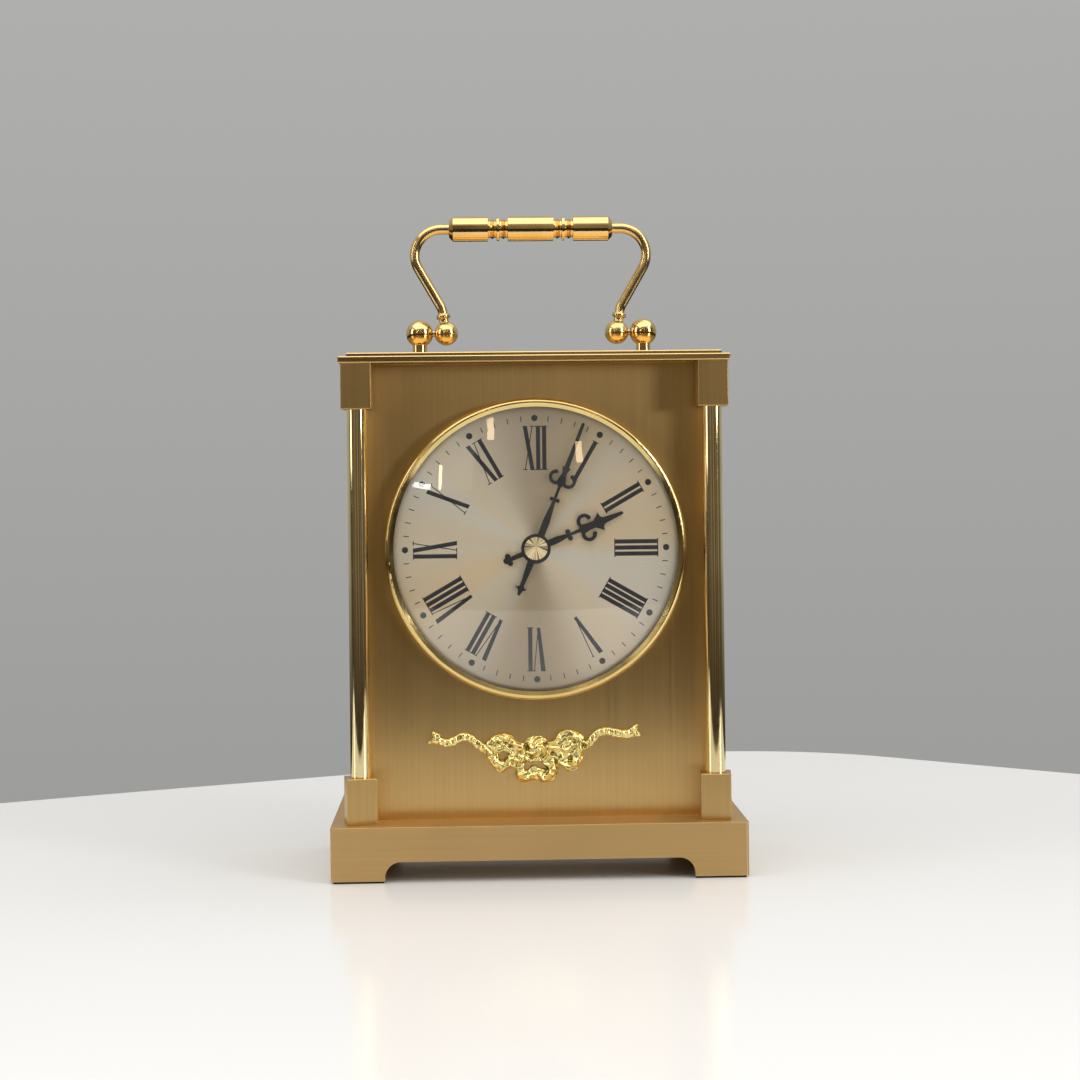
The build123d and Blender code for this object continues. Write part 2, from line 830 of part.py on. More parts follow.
def bow_folds():
    """The raised folds of the bow, as ribbons along its loops."""
    return [
        ribbon([(-3.0, 0.6), (-6.5, 1.4), (-10.0, 3.0), (-13.2, 1.4), (-13.3, -1.8), (-11.2, -5.3)], 1.5),
        ribbon([(-3.2, -1.0), (-6.0, -0.4), (-8.5, -4.4), (-10.8, -5.2)], 1.4),
        ribbon([(3.2, 0.8), (6.8, 2.0), (9.4, 3.8), (12.6, 2.0), (12.2, -1.6), (11.0, -5.2)], 1.5),
        ribbon([(3.4, -0.6), (6.4, -1.2), (7.6, -3.6), (9.8, -5.6)], 1.4),
        ribbon([(-3.4, -2.6), (-5.0, -5.6), (-4.0, -8.4), (-1.6, -7.2)], 1.2),
        ribbon([(3.4, -2.8), (4.8, -6.2), (3.4, -8.6), (0.8, -7.2)], 1.2),
    ]


def ribbon_ornament():
    """The cast ribbon bow: tails, pierced loops, raised folds and a domed knot, on two pins."""
    bow = bow_outline()
    for opening in bow_openings():
        bow -= opening
    body = extrude(bow, ornament_thickness)
    for tail in ribbon_tails():
        body += extrude(tail, ornament_thickness)
    for fold in bow_folds():
        body += extrude(fold, fold_height)
    for side in (-1, 1):
        pin_x = side * ornament_pin_spacing / 2
        body += rod(ornament_pin_diameter, -panel_thickness, ornament_thickness, pin_x)
    ball = (knot_radius**2 + ornament_relief**2) / (2 * ornament_relief)
    dome = Pos(0, 0, ornament_relief - ball) * Sphere(ball)
    body += dome & rod(3 * knot_radius, 0, ornament_relief + 1)
    place = Plane(origin=(ornament_x, panel_front, ornament_height), x_dir=(1, 0, 0), z_dir=(0, -1, 0))
    return place.location * body


def handle_posts():
    """The two ball-topped posts, with studs through the top plate."""
    posts = []
    for sign in (-1, 1):
        x = sign * post_spacing / 2
        post = Pos(x, 0, pivot_level) * Sphere(post_ball_diameter / 2)
        post += rod(post_neck_diameter, plate_top, pivot_level, x)
        post += rod(post_foot_diameter, plate_top, plate_top + post_foot_height, x)
        post += rod(frame_thread, plate_bottom - frame_nut_height - rod_spare, pivot_level, x)
        post -= rod_x(pivot_pin_diameter, -abs(x), abs(x), 0, pivot_level)
        posts.append(post)
    return posts


def handle_pivot_pins():
    """The pins fixed in the posts, on which the end balls turn."""
    inner = end_ball_x - end_ball_diameter / 4
    outer = post_spacing / 2
    return [rod_x(pivot_pin_diameter, *sorted((s * inner, s * outer)), 0, pivot_level) for s in (-1, 1)]


def arm_path():
    """The centre line of the right-hand arm, from inside the grip to the end ball."""
    lean = math.radians(arm_lean)
    start = grip_length / 2 - grip_bore_depth
    foot_lean = math.radians(arm_foot_lean)
    bend_x = arm_span / 2 - arm_bend
    corner_x = bend_x + arm_bend / math.tan(math.radians(45 - arm_lean / 2))
    reach = (grip_level - pivot_level) * math.tan(lean) - (corner_x - end_ball_x)
    foot_rise = reach / (math.tan(lean) - math.tan(foot_lean))
    foot = (end_ball_x + foot_rise * math.tan(foot_lean), 0, pivot_level + foot_rise)
    ball = (end_ball_x, 0, pivot_level)
    return FilletPolyline(
        (start, 0, grip_level), (corner_x, 0, grip_level), foot, ball, radius=[arm_bend, arm_foot_bend]
    )


def handle_arm(sign):
    """A bent wire arm with a collar and the ball that turns on the pivot pin."""
    path = arm_path()
    start = Plane(origin=path @ 0, z_dir=path % 0)
    arm = sweep(start * Circle(wire_diameter / 2), path)
    arm += Pos(end_ball_x, 0, pivot_level) * Sphere(end_ball_diameter / 2)
    collar = rod(collar_diameter, collar_rise - collar_height / 2, collar_rise + collar_height / 2)
    arm += Pos(end_ball_x, 0, pivot_level) * Rot(0, arm_foot_lean, 0) * collar
    bore_end = end_ball_x - end_ball_diameter / 4 - slack
    arm -= rod_x(pivot_pin_diameter + 2 * fit, bore_end, post_spacing, 0, pivot_level)
    return arm if sign > 0 else mirror(arm, Plane.YZ)


def groove_profile(centre, radius, core):
    """The outline of one turned groove: a bead, a thin disc and a bead, from left to right."""
    half = grip_groove_width / 2
    disc = grip_disc_width / 2
    bead = (half - disc) / 2
    points = [
        (-half, radius), (-half + 0.3, core), (-half + 0.5 * bead, core),
        (-half + bead, core + 0.5), (-half + 1.5 * bead, core),
        (-disc - 0.3, core), (-disc, radius - 0.15),
    ]
    mirrored = [(-x, y) for x, y in reversed(points)]
    return [(centre + x, y) for x, y in points + mirrored]


def handle_grip():
    """The turned grip: three barrels parted by two grooves, bored at its ends for the wire."""
    radius = grip_diameter / 2
    core = grip_core_diameter / 2
    end = grip_length / 2
    end_radius = radius - grip_chamfer
    outline = [(-end, 0), (-end, end_radius), (grip_chamfer - end, radius)]
    outline += groove_profile(-grip_groove_centre, radius, core)
    outline += groove_profile(grip_groove_centre, radius, core)
    outline += [(end - grip_chamfer, radius), (end, end_radius), (end, 0)]
    face = make_face(Plane.XZ * Polyline(*outline, close=True))
    body = Pos(0, 0, grip_level) * revolve(face, Axis.X)
    for sign in (-1, 1):
        low, high = sorted((sign * (end - grip_bore_depth - slack), sign * (end + slack)))
        body -= rod_x(wire_diameter + 2 * fit, low, high, 0, grip_level)
    return body


def inside(depth):
    """The level in the dial frame of a place this far behind the front panel."""
    return -panel_thickness - depth


def tooth_half_angle(teeth, module, radius):
    """Half of the angle that a tooth takes at a radius, in radians."""
    pitch_radius = module * teeth / 2
    base_radius = pitch_radius * math.cos(math.radians(pressure_angle))
    half = math.pi / (2 * teeth) - tooth_thinning * module / (2 * pitch_radius)
    alpha = math.radians(pressure_angle)
    beta = math.acos(min(1.0, base_radius / radius))
    return half + (math.tan(alpha) - alpha) - (math.tan(beta) - beta)


def toothed_face(module, teeth, phase):
    """The face of a stub-toothed wheel with a tooth at the angle phase, in degrees."""
    pitch_radius = module * teeth / 2
    base_radius = pitch_radius * math.cos(math.radians(pressure_angle))
    root = pitch_radius - dedendum * module
    tip = pitch_radius + addendum * module
    start = max(root, base_radius)
    radii = [start, (start + tip) / 2, tip]
    if root < start:
        radii.insert(0, root)
    flank = [(radius, tooth_half_angle(teeth, module, max(radius, base_radius))) for radius in radii]
    points = []
    for tooth in range(teeth):
        middle = math.radians(phase) + 2 * math.pi * tooth / teeth
        for radius, half in flank:
            points.append((radius * math.cos(middle - half), radius * math.sin(middle - half)))
        for radius, half in reversed(flank):
            points.append((radius * math.cos(middle + half), radius * math.sin(middle + half)))
    return make_face(Polyline(*points, close=True))


def wheel(module, teeth, phase, depth, thickness):
    """A toothed wheel about the dial frame's Z axis, its front this far behind the panel."""
    return Pos(0, 0, inside(depth + thickness)) * extrude(toothed_face(module, teeth, phase), thickness)


def meshing_phase(first_phase, first_teeth, second_teeth, direction):
    """The phase of a wheel that meshes with a first one, which it lies from in a direction."""
    return direction + 180 - 180 / second_teeth + (direction - first_phase) * first_teeth / second_teeth


def beside(place, distance, direction):
    """The place at a distance and a direction, in degrees, from another place."""
    angle = math.radians(direction)
    return place[0] + distance * math.cos(angle), place[1] + distance * math.sin(angle)


def centre_distance(module, first, second):
    """The distance of two meshing wheels."""
    return module * (first + second) / 2


# Places of the arbors in the dial frame, and the phases that bring the teeth into mesh
minute_wheel_direction = 150.0
setting_direction = 225.0
third_direction = 20.0
seconds_direction = 100.0
intermediate_direction = 170.0
rotor_direction = 215.0
centre = (0.0, 0.0)
motion_distance = centre_distance(motion_module, cannon_teeth, minute_wheel_teeth)
hour_module = 2 * motion_distance / (hour_pinion_teeth + hour_wheel_teeth)
minute_wheel_place = beside(centre, motion_distance, minute_wheel_direction)
setting_place = beside(
    minute_wheel_place, centre_distance(motion_module, minute_wheel_teeth, setting_teeth), setting_direction
)
third_place = beside(
    centre, centre_distance(drive_module, drive_wheel_teeth, third_pinion_teeth), third_direction
)
seconds_place = beside(
    third_place, centre_distance(fine_module, third_wheel_teeth, seconds_pinion_teeth), seconds_direction
)
intermediate_place = beside(
    seconds_place,
    centre_distance(fine_module, seconds_wheel_teeth, intermediate_pinion_teeth),
    intermediate_direction,
)
rotor_place = beside(
    intermediate_place,
    centre_distance(fine_module, intermediate_wheel_teeth, rotor_pinion_teeth),
    rotor_direction,
)
minute_wheel_phase = meshing_phase(0, cannon_teeth, minute_wheel_teeth, minute_wheel_direction)
hour_pinion_phase = meshing_phase(0, hour_wheel_teeth, hour_pinion_teeth, minute_wheel_direction)
setting_phase = meshing_phase(minute_wheel_phase, minute_wheel_teeth, setting_teeth, setting_direction)
third_pinion_phase = meshing_phase(0, drive_wheel_teeth, third_pinion_teeth, third_direction)
seconds_pinion_phase = meshing_phase(0, third_wheel_teeth, seconds_pinion_teeth, seconds_direction)
intermediate_pinion_phase = meshing_phase(
    0, seconds_wheel_teeth, intermediate_pinion_teeth, intermediate_direction
)
rotor_pinion_phase = meshing_phase(0, intermediate_wheel_teeth, rotor_pinion_teeth, rotor_direction)

# Depths behind the front panel of the layers of the train, of the plate and of the rear wall
hour_layer = shell_wall + 0.3
motion_layer = hour_layer + wheel_thickness + 0.5
train_plate_back = train_plate_front + train_plate_thickness
drive_layer = train_plate_back + 0.4
third_layer = drive_layer + wheel_thickness + 0.8
seconds_layer = third_layer + wheel_thickness + 0.8
intermediate_layer = seconds_layer + wheel_thickness + 0.6
magnet_layer = intermediate_layer + wheel_thickness + 0.4
stator_layer = magnet_layer + (magnet_length - stator_thickness) / 2
rear_wall = movement_depth - shell_wall
pivot_end = rear_wall + shell_wall / 2
pinion_spare = 0.2

# Battery bay in the lower part of the movement
shell_half = movement_side / 2
shell_inner = shell_half - shell_wall
battery_drop = shell_inner - battery_diameter / 2 - 0.3
bay_top = -battery_drop + battery_diameter / 2 + 0.4
support_places = [
    (shell_inner - 2.6, shell_inner - 2.6),
    (shell_inner - 2.6, bay_top + shell_wall + 1.8),
    (2.6 - shell_inner, bay_top + shell_wall + 1.8),
]


def arbor(place, low, high, diameter):
    """A round arbor between two depths behind the front panel."""
    return rod(diameter, inside(high), inside(low), *place)


def pivot_hole(place, low, high, diameter):
    """The running hole for an arbor between two depths."""
    return arbor(place, low, high, diameter + 2 * fit)


def minute_arbor():
    """The centre arbor with the cannon pinion, which carries the minute hand."""
    _, minute_level = hand_levels()
    body = rod(minute_pipe_diameter, inside(motion_layer), minute_level + hub_thickness + cap_height / 4)
    body += wheel(motion_module, cannon_teeth, 0, motion_layer, wheel_thickness)
    body += arbor(centre, motion_layer, pivot_end, arbor_diameter)
    return at_dial(body)


def hour_wheel():
    """The hour wheel with the pipe that carries the hour hand."""
    hour_level, _ = hand_levels()
    body = wheel(hour_module, hour_wheel_teeth, 0, hour_layer, wheel_thickness)
    body += rod(hour_pipe_diameter, inside(hour_layer), hour_level + hub_thickness)
    bore = minute_pipe_diameter + 2 * fit
    return at_dial(body - rod(bore, inside(hour_layer + wheel_thickness), hour_level + hub_thickness))


def minute_wheel():
    """The motion-work wheel and pinion that step the hour wheel down by twelve."""
    body = wheel(motion_module, minute_wheel_teeth, minute_wheel_phase, motion_layer, wheel_thickness)
    reach = motion_layer - hour_layer + slack
    body += wheel(hour_module, hour_pinion_teeth, hour_pinion_phase, hour_layer, reach)
    body -= arbor(centre, hour_layer - slack, motion_layer + 1, stud_diameter + 2 * fit)
    return at_dial(Pos(*minute_wheel_place) * body)


def setting_knob():
    """The hand-setting knob at the back, its shaft and the pinion that turns the minute wheel."""
    body = wheel(motion_module, setting_teeth, setting_phase, motion_layer, wheel_thickness)
    body += arbor(centre, motion_layer, movement_depth + 1, setting_shaft_diameter)
    knob_start = movement_depth + setting_knob_gap
    knob = arbor(centre, knob_start, knob_start + setting_knob_length, setting_knob_diameter)
    ribs = 24
    for rib in range(ribs):
        place = beside(centre, setting_knob_diameter / 2, 360 * rib / ribs)
        knob -= arbor(place, movement_depth, movement_depth + 1 + setting_knob_length, 0.6)
    return at_dial(Pos(*setting_place) * (body + knob))


def drive_wheel():
    """The wheel that the train drives, slipping on the centre arbor when the hands are set."""
    body = wheel(drive_module, drive_wheel_teeth, 0, drive_layer, wheel_thickness)
    body += arbor(centre, drive_layer, drive_layer + wheel_thickness + 0.6, 3 * arbor_diameter)
    body -= arbor(centre, drive_layer - 1, drive_layer + wheel_thickness + 1, arbor_diameter + 2 * fit)
    return at_dial(body)


def train_mobile(place, wheel_part, pinion_part):
    """A wheel and a pinion on one arbor that runs from the train plate to the rear wall."""
    body = wheel_part + pinion_part + arbor(centre, train_plate_front, pivot_end, pivot_diameter)
    return at_dial(Pos(*place) * body)


def pinion(module, teeth, phase, layer):
    """A pinion a little longer than the wheel that it meshes with."""
    return wheel(module, teeth, phase, layer - pinion_spare, wheel_thickness + 2 * pinion_spare)


def third_wheel():
    """The third wheel and its pinion."""
    large = wheel(fine_module, third_wheel_teeth, 0, third_layer, wheel_thickness)
    small = pinion(drive_module, third_pinion_teeth, third_pinion_phase, drive_layer)
    return train_mobile(third_place, large, small)


def seconds_wheel():
    """The wheel that turns once a minute, and its pinion."""
    large = wheel(fine_module, seconds_wheel_teeth, 0, seconds_layer, wheel_thickness)
    small = pinion(fine_module, seconds_pinion_teeth, seconds_pinion_phase, third_layer)
    return train_mobile(seconds_place, large, small)


def intermediate_wheel():
    """The wheel between the rotor and the seconds wheel."""
    large = wheel(fine_module, intermediate_wheel_teeth, 0, intermediate_layer, wheel_thickness)
    small = pinion(fine_module, intermediate_pinion_teeth, intermediate_pinion_phase, seconds_layer)
    return train_mobile(intermediate_place, large, small)


def stepper_rotor():
    """The magnet rotor of the stepping motor with its pinion."""
    magnet = arbor(centre, magnet_layer, magnet_layer + magnet_length, magnet_diameter)
    small = pinion(fine_module, rotor_pinion_teeth, rotor_pinion_phase, intermediate_layer)
    return train_mobile(rotor_place, magnet, small)


def train_places():
    """The arbors that run between the train plate and the rear wall."""
    return (third_place, seconds_place, intermediate_place, rotor_place)


def train_plate():
    """The plate between the motion work and the going train."""
    edge = shell_inner - slack
    low = bay_top + shell_wall + slack
    body = block((-edge, low, inside(train_plate_back)), (edge, edge, inside(train_plate_front)))
    body -= pivot_hole(centre, train_plate_front, train_plate_back, arbor_diameter)
    body -= pivot_hole(setting_place, train_plate_front, train_plate_back, setting_shaft_diameter)
    for place in train_places():
        body -= pivot_hole(place, train_plate_front, train_plate_back, pivot_diameter)
    return at_dial(body)


def shell_tray(front, back):
    """The outer wall and the battery partition of the movement case between two depths."""
    wall = block((-shell_half, -shell_half, inside(back)), (shell_half, shell_half, inside(front)))
    train_low = (-shell_inner, bay_top + shell_wall, inside(back))
    wall -= block(train_low, (shell_inner, shell_inner, inside(front)))
    wall -= block((-shell_inner, -shell_inner, inside(back)), (shell_inner, bay_top, inside(front)))
    return wall


def movement_front_shell():
    """The front half of the movement case with the threaded bushing and the support posts."""
    body = shell_tray(shell_wall, shell_split)
    body += block((-shell_half, -shell_half, inside(shell_wall)), (shell_half, shell_half, inside(0)))
    for place in support_places:
        body += arbor(place, shell_wall / 2, train_plate_front, support_post_diameter)
    body += arbor(minute_wheel_place, shell_wall / 2, train_plate_front, stud_diameter)
    body += rod(bushing_diameter, inside(shell_wall / 2), dial_thickness + nut_height)
    bore = rod(hour_pipe_diameter + 2 * fit, inside(shell_wall), dial_thickness + nut_height)
    return at_dial(body - bore)


def movement_rear_shell():
    """The rear half of the movement case, open behind the battery."""
    body = shell_tray(shell_split, movement_depth)
    high = inside(rear_wall)
    low = inside(movement_depth)
    body += block((-shell_half, bay_top, low), (shell_half, shell_half, high))
    for place in support_places:
        body += arbor(place, train_plate_back, rear_wall + shell_wall / 2, support_post_diameter)
    for place in stator_studs():
        body += arbor(place, stator_layer + stator_thickness, rear_wall + shell_wall / 2, 2 * stud_diameter)
    body -= pivot_hole(setting_place, rear_wall, movement_depth, setting_shaft_diameter)
    body -= pivot_hole(centre, rear_wall, pivot_end + slack, arbor_diameter)
    for place in train_places():
        body -= pivot_hole(place, rear_wall, pivot_end + slack, pivot_diameter)
    return at_dial(body)


def mounting_nut():
    """The round nut that clamps the dial and the movement on the panel."""
    ring = rod(nut_diameter, dial_thickness, dial_thickness + nut_height)
    return at_dial(ring - rod(bushing_diameter + 2 * fit, dial_thickness, dial_thickness + nut_height))


def stator_ends():
    """The left and the right end of the stator in the dial frame."""
    left = rotor_place[0] - coil_length - stator_width
    right = rotor_place[0] + stator_width / 2
    return left, right


def stator_studs():
    """Where the rear shell carries the stator."""
    left, _ = stator_ends()
    return [(left + stator_width / 4, rotor_place[1]), (left + stator_width / 4, coil_axis())]


def coil_axis():
    """The height of the coil in the dial frame."""
    return shell_inner - coil_diameter / 2 - 0.4


def stator_core():
    """The iron circuit: two legs, a bar with the rotor hole and the core of the coil."""
    left, right = stator_ends()
    half = stator_width / 2
    low = rotor_place[1] - half
    high = coil_axis() + coil_core / 2
    front = inside(stator_layer)
    back = inside(stator_layer + stator_thickness)
    body = block((left, low, back), (right, rotor_place[1] + half, front))
    body += block((left, low, back), (left + half, high, front))
    body += block((right - half, low, back), (right, high, front))
    body += block((left, coil_axis() - coil_core / 2, back), (right, high, front))
    body -= arbor(rotor_place, stator_layer - 1, stator_layer + stator_thickness + 1, stator_hole)
    return at_dial(body)


def coil_winding():
    """The coil on the core of the stator."""
    left, right = stator_ends()
    middle = (left + right) / 2
    level = inside(stator_layer + stator_thickness / 2)
    half = min(coil_length, right - left - stator_width - 1) / 2
    body = rod_x(coil_diameter, middle - half, middle + half, coil_axis(), level)
    low = (middle - half, 0, inside(rear_wall) + slack)
    high = (middle + half, shell_inner, inside(train_plate_back))
    body &= block(low, high)
    core = coil_core / 2 + slack
    thick = stator_thickness / 2 + slack
    low = (middle - half, coil_axis() - core, level - thick)
    high = (middle + half, coil_axis() + core, level + thick)
    body -= block(low, high)
    return at_dial(body)


def board_place():
    """The low and high corners of the circuit board in the dial frame's x and y."""
    low = (slack - shell_inner, bay_top + shell_wall + 4.2)
    return low, (low[0] + 11.5, low[1] + 14.0)


def circuit_board():
    """The circuit board on the train plate, with a hole round the setting shaft."""
    low, high = board_place()
    back = train_plate_back + board_thickness
    body = block((*low, inside(back)), (*high, inside(train_plate_back)))
    body -= arbor(setting_place, train_plate_back, back, setting_shaft_diameter + 2)
    return at_dial(body)


def quartz_crystal():
    """The crystal in its small round can, lying on the board."""
    low, high = board_place()
    level = inside(train_plate_back + board_thickness + crystal_diameter / 2)
    body = rod_x(crystal_diameter, low[0] + 2, low[0] + 2 + crystal_length, high[1] - 2, level)
    return at_dial(body)


def battery():
    """The single cell across the bottom of the movement."""
    half = battery_length / 2
    level = inside(shell_wall + battery_diameter / 2 + slack)
    body = rod_x(battery_diameter, -half, half - battery_nub, -battery_drop, level)
    body += rod_x(battery_nub_diameter, -half, half, -battery_drop, level)
    return at_dial(body)


def battery_contacts():
    """The two strips that touch the ends of the cell, bent against the shell."""
    springs = []
    level = inside(shell_wall + battery_diameter / 2 + slack)
    half_width = battery_nub_diameter / 2 + 1
    for sign in (-1, 1):
        near = battery_length / 2 + fit
        far = shell_inner - fit
        body = block(
            (near, -battery_drop - half_width, level - half_width),
            (near + contact_thickness, -battery_drop + half_width, level + half_width),
        )
        body += block(
            (near, -battery_drop - half_width, level - half_width),
            (far, -battery_drop - half_width + contact_thickness, level + half_width),
        )
        springs.append(at_dial(body if sign > 0 else mirror(body, Plane.YZ)))
    return springs


def all_nodes():
    """Every node of the clock by its name."""
    nodes = {
        "base_plinth": base_plinth(),
        "felt_feet": felt_feet(),
        "pillar_tie_rods": tie_rods(),
        "frame_nuts": frame_nuts(),
        "top_plate_lower": top_plate_lower(),
        "top_plate_upper": top_plate_upper(),
        "top_plate_screws": top_plate_screws(),
        "front_panel": front_panel(),
        "side_panel_left": side_panel(-1),
        "side_panel_right": side_panel(1),
        "rear_frame": rear_frame(),
        "rear_door": rear_door(),
        "door_hinge_frame_leaves": door_hinge_frame_leaves(),
        "door_hinge_door_leaves": door_hinge_door_leaves(),
        "door_hinge_pins": door_hinge_pins(),
        "door_knob": door_knob(),
        "bezel_ring": bezel_ring(),
        "glass_crystal": glass_crystal(),
        "glass_gasket": glass_gasket(),
        "dial_plate": dial_plate(),
        "hour_hand": hour_hand(),
        "minute_hand": minute_hand(),
        "centre_cap": centre_cap(),
        "ribbon_ornament": ribbon_ornament(),
        "handle_posts": handle_posts(),
        "handle_pivot_pins": handle_pivot_pins(),
        "handle_arm_left": handle_arm(-1),
        "handle_arm_right": handle_arm(1),
        "handle_grip": handle_grip(),
        "movement_front_shell": movement_front_shell(),
        "movement_rear_shell": movement_rear_shell(),
        "train_plate": train_plate(),
        "mounting_nut": mounting_nut(),
        "minute_arbor": minute_arbor(),
        "hour_wheel": hour_wheel(),
        "minute_wheel": minute_wheel(),
        "setting_knob": setting_knob(),
        "drive_wheel": drive_wheel(),
        "third_wheel": third_wheel(),
        "seconds_wheel": seconds_wheel(),
        "intermediate_wheel": intermediate_wheel(),
        "stepper_rotor": stepper_rotor(),
        "stator_core": stator_core(),
        "coil_winding": coil_winding(),
        "circuit_board": circuit_board(),
        "quartz_crystal": quartz_crystal(),
        "battery": battery(),
        "battery_contacts": battery_contacts(),
    }
    turns = {"front_left": front_left_turn, "front_right": front_right_turn}
    for corner, sign_x, sign_y in corners():
        nodes[f"pedestal_{corner}"] = pedestal(sign_x, sign_y, turns.get(corner, 0.0))
        nodes[f"column_tube_{corner}"] = column_tube(sign_x, sign_y)
        nodes[f"capital_{corner}"] = capital(sign_x, sign_y)
    return nodes


def main():
    """Writes one STEP file per node."""
    for name, shape in all_nodes().items():
        solids = shape if isinstance(shape, list) else [shape]
        flat = [solid for item in solids for solid in item.solids()]
        export_step(flat[0] if len(flat) == 1 else Compound(children=flat), f"parts/{name}.step")


main()
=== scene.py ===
import math

import bmesh
import bpy
from mathutils import Matrix, Vector, noise


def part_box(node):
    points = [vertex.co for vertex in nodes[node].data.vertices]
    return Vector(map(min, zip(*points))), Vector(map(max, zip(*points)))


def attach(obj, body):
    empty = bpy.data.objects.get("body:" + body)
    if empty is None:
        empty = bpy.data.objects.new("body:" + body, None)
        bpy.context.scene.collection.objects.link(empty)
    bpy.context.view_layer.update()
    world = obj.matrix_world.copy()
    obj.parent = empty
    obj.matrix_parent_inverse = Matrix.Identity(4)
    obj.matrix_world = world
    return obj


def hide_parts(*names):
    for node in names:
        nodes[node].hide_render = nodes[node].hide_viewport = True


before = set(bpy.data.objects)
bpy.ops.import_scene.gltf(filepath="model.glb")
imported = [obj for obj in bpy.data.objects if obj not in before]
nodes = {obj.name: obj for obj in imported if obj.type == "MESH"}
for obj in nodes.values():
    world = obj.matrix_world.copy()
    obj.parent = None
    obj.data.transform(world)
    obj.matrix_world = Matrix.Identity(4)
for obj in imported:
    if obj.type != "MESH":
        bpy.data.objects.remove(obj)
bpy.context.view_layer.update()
bpy.context.scene.view_settings.view_transform = "Standard"

mm = 0.001

# The values between which noise mostly keeps
noise_low, noise_high = 0.3, 0.7

# Sizes read from the CAD frame
dial_low, dial_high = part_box("dial_plate")
dial_x = (dial_low.x + dial_high.x) / 2
dial_z = (dial_low.z + dial_high.z) / 2
dial_face = dial_low.y
panel_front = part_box("front_panel")[0].y
ornament_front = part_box("ribbon_ornament")[0].y

# Camera fitted to the photograph
picture_side = 1080
focal_pixels = 2097.3
horizon_row = 479.8
camera_place = Vector((-0.0178, -0.6326, 0.11585))
camera_yaw = 0.0314
camera_pitch = -0.0016
camera_roll = -0.0111

# Stage
table_thickness = 0.025
camera_sensor = 36.0
nearest_seen = 0.01
farthest_seen = 50.0


def socket(node, name, value):
    """Sets an input of a node."""
    node.inputs[name].default_value = value


def rgb(red, green, blue):
    """A colour given in picture values from 0 to 255, as a linear colour."""
    def linear(value):
        share = value / 255
        return share / 12.92 if share <= 0.04045 else ((share + 0.055) / 1.055) ** 2.4
    return (linear(red), linear(green), linear(blue), 1.0)


class Graph:
    """A node tree with short ways to add nodes to it."""

    def __init__(self, tree):
        self.tree = tree

    def add(self, kind, **settings):
        node = self.tree.nodes.new(kind)
        for key, value in settings.items():
            setattr(node, key, value)
        return node

    def feed(self, value, target):
        """Links an output to an input, or sets the input to a plain value."""
        if hasattr(value, "is_linked"):
            self.tree.links.new(value, target)
        else:
            target.default_value = value

    def position(self, scale=(1, 1, 1)):
        """The place on the object, stretched by scale."""
        coordinate = self.add("ShaderNodeTexCoord")
        mapping = self.add("ShaderNodeMapping")
        socket(mapping, "Scale", scale)
        self.feed(coordinate.outputs["Object"], mapping.inputs["Vector"])
        return mapping.outputs["Vector"]

    def noise(self, vector, detail=2.0, roughness=0.5):
        node = self.add("ShaderNodeTexNoise")
        socket(node, "Scale", 1.0)
        socket(node, "Detail", detail)
        socket(node, "Roughness", roughness)
        self.feed(vector, node.inputs["Vector"])
        return node.outputs["Fac"]

    def noise_along(self, value, scale, detail=2.0):
        """Noise along a single value."""
        node = self.add("ShaderNodeTexNoise", noise_dimensions="1D")
        socket(node, "Scale", scale)
        socket(node, "Detail", detail)
        self.feed(value, node.inputs["W"])
        return node.outputs["Fac"]

    def math(self, operation, first, second=0.0):
        node = self.add("ShaderNodeMath", operation=operation)
        self.feed(first, node.inputs[0])
        self.feed(second, node.inputs[1])
        return node.outputs[0]

    def angle(self, centre_x, centre_z):
        """The angle about an axis that runs from front to back."""
        parts = self.add("ShaderNodeSeparateXYZ")
        self.feed(self.position(), parts.inputs[0])
        across = self.math("SUBTRACT", parts.outputs["X"], centre_x)
        upward = self.math("SUBTRACT", parts.outputs["Z"], centre_z)
        return self.math("ARCTAN2", upward, across)

    def ramp(self, value, stops):
        node = self.add("ShaderNodeValToRGB")
        elements = node.color_ramp.elements
        while len(elements) < len(stops):
            elements.new(0.5)
        for element, (place, colour) in zip(elements, stops):
            element.position = place
            element.color = colour
        self.feed(value, node.inputs["Fac"])
        return node.outputs["Color"]

    def spread(self, value, low, high, start, end):
        """Maps a value between start and end to between low and high."""
        node = self.add("ShaderNodeMapRange")
        socket(node, "From Min", start)
        socket(node, "From Max", end)
        socket(node, "To Min", low)
        socket(node, "To Max", high)
        self.feed(value, node.inputs["Value"])
        return node.outputs["Result"]

    def shades(self, value, dark, light):
        """Colours from dark to light as a noise rises."""
        return self.ramp(value, [(noise_low, dark), (noise_high, light)])

    def between(self, value, low, high):
        """Values from low to high as a noise rises."""
        return self.spread(value, low, high, noise_low, noise_high)

    def mix(self, share, first, second):
        node = self.add("ShaderNodeMix", data_type="RGBA")
        inputs = [item for item in node.inputs if item.enabled]
        for value, target in zip((share, first, second), inputs):
            self.feed(value, target)
        return node.outputs[2]


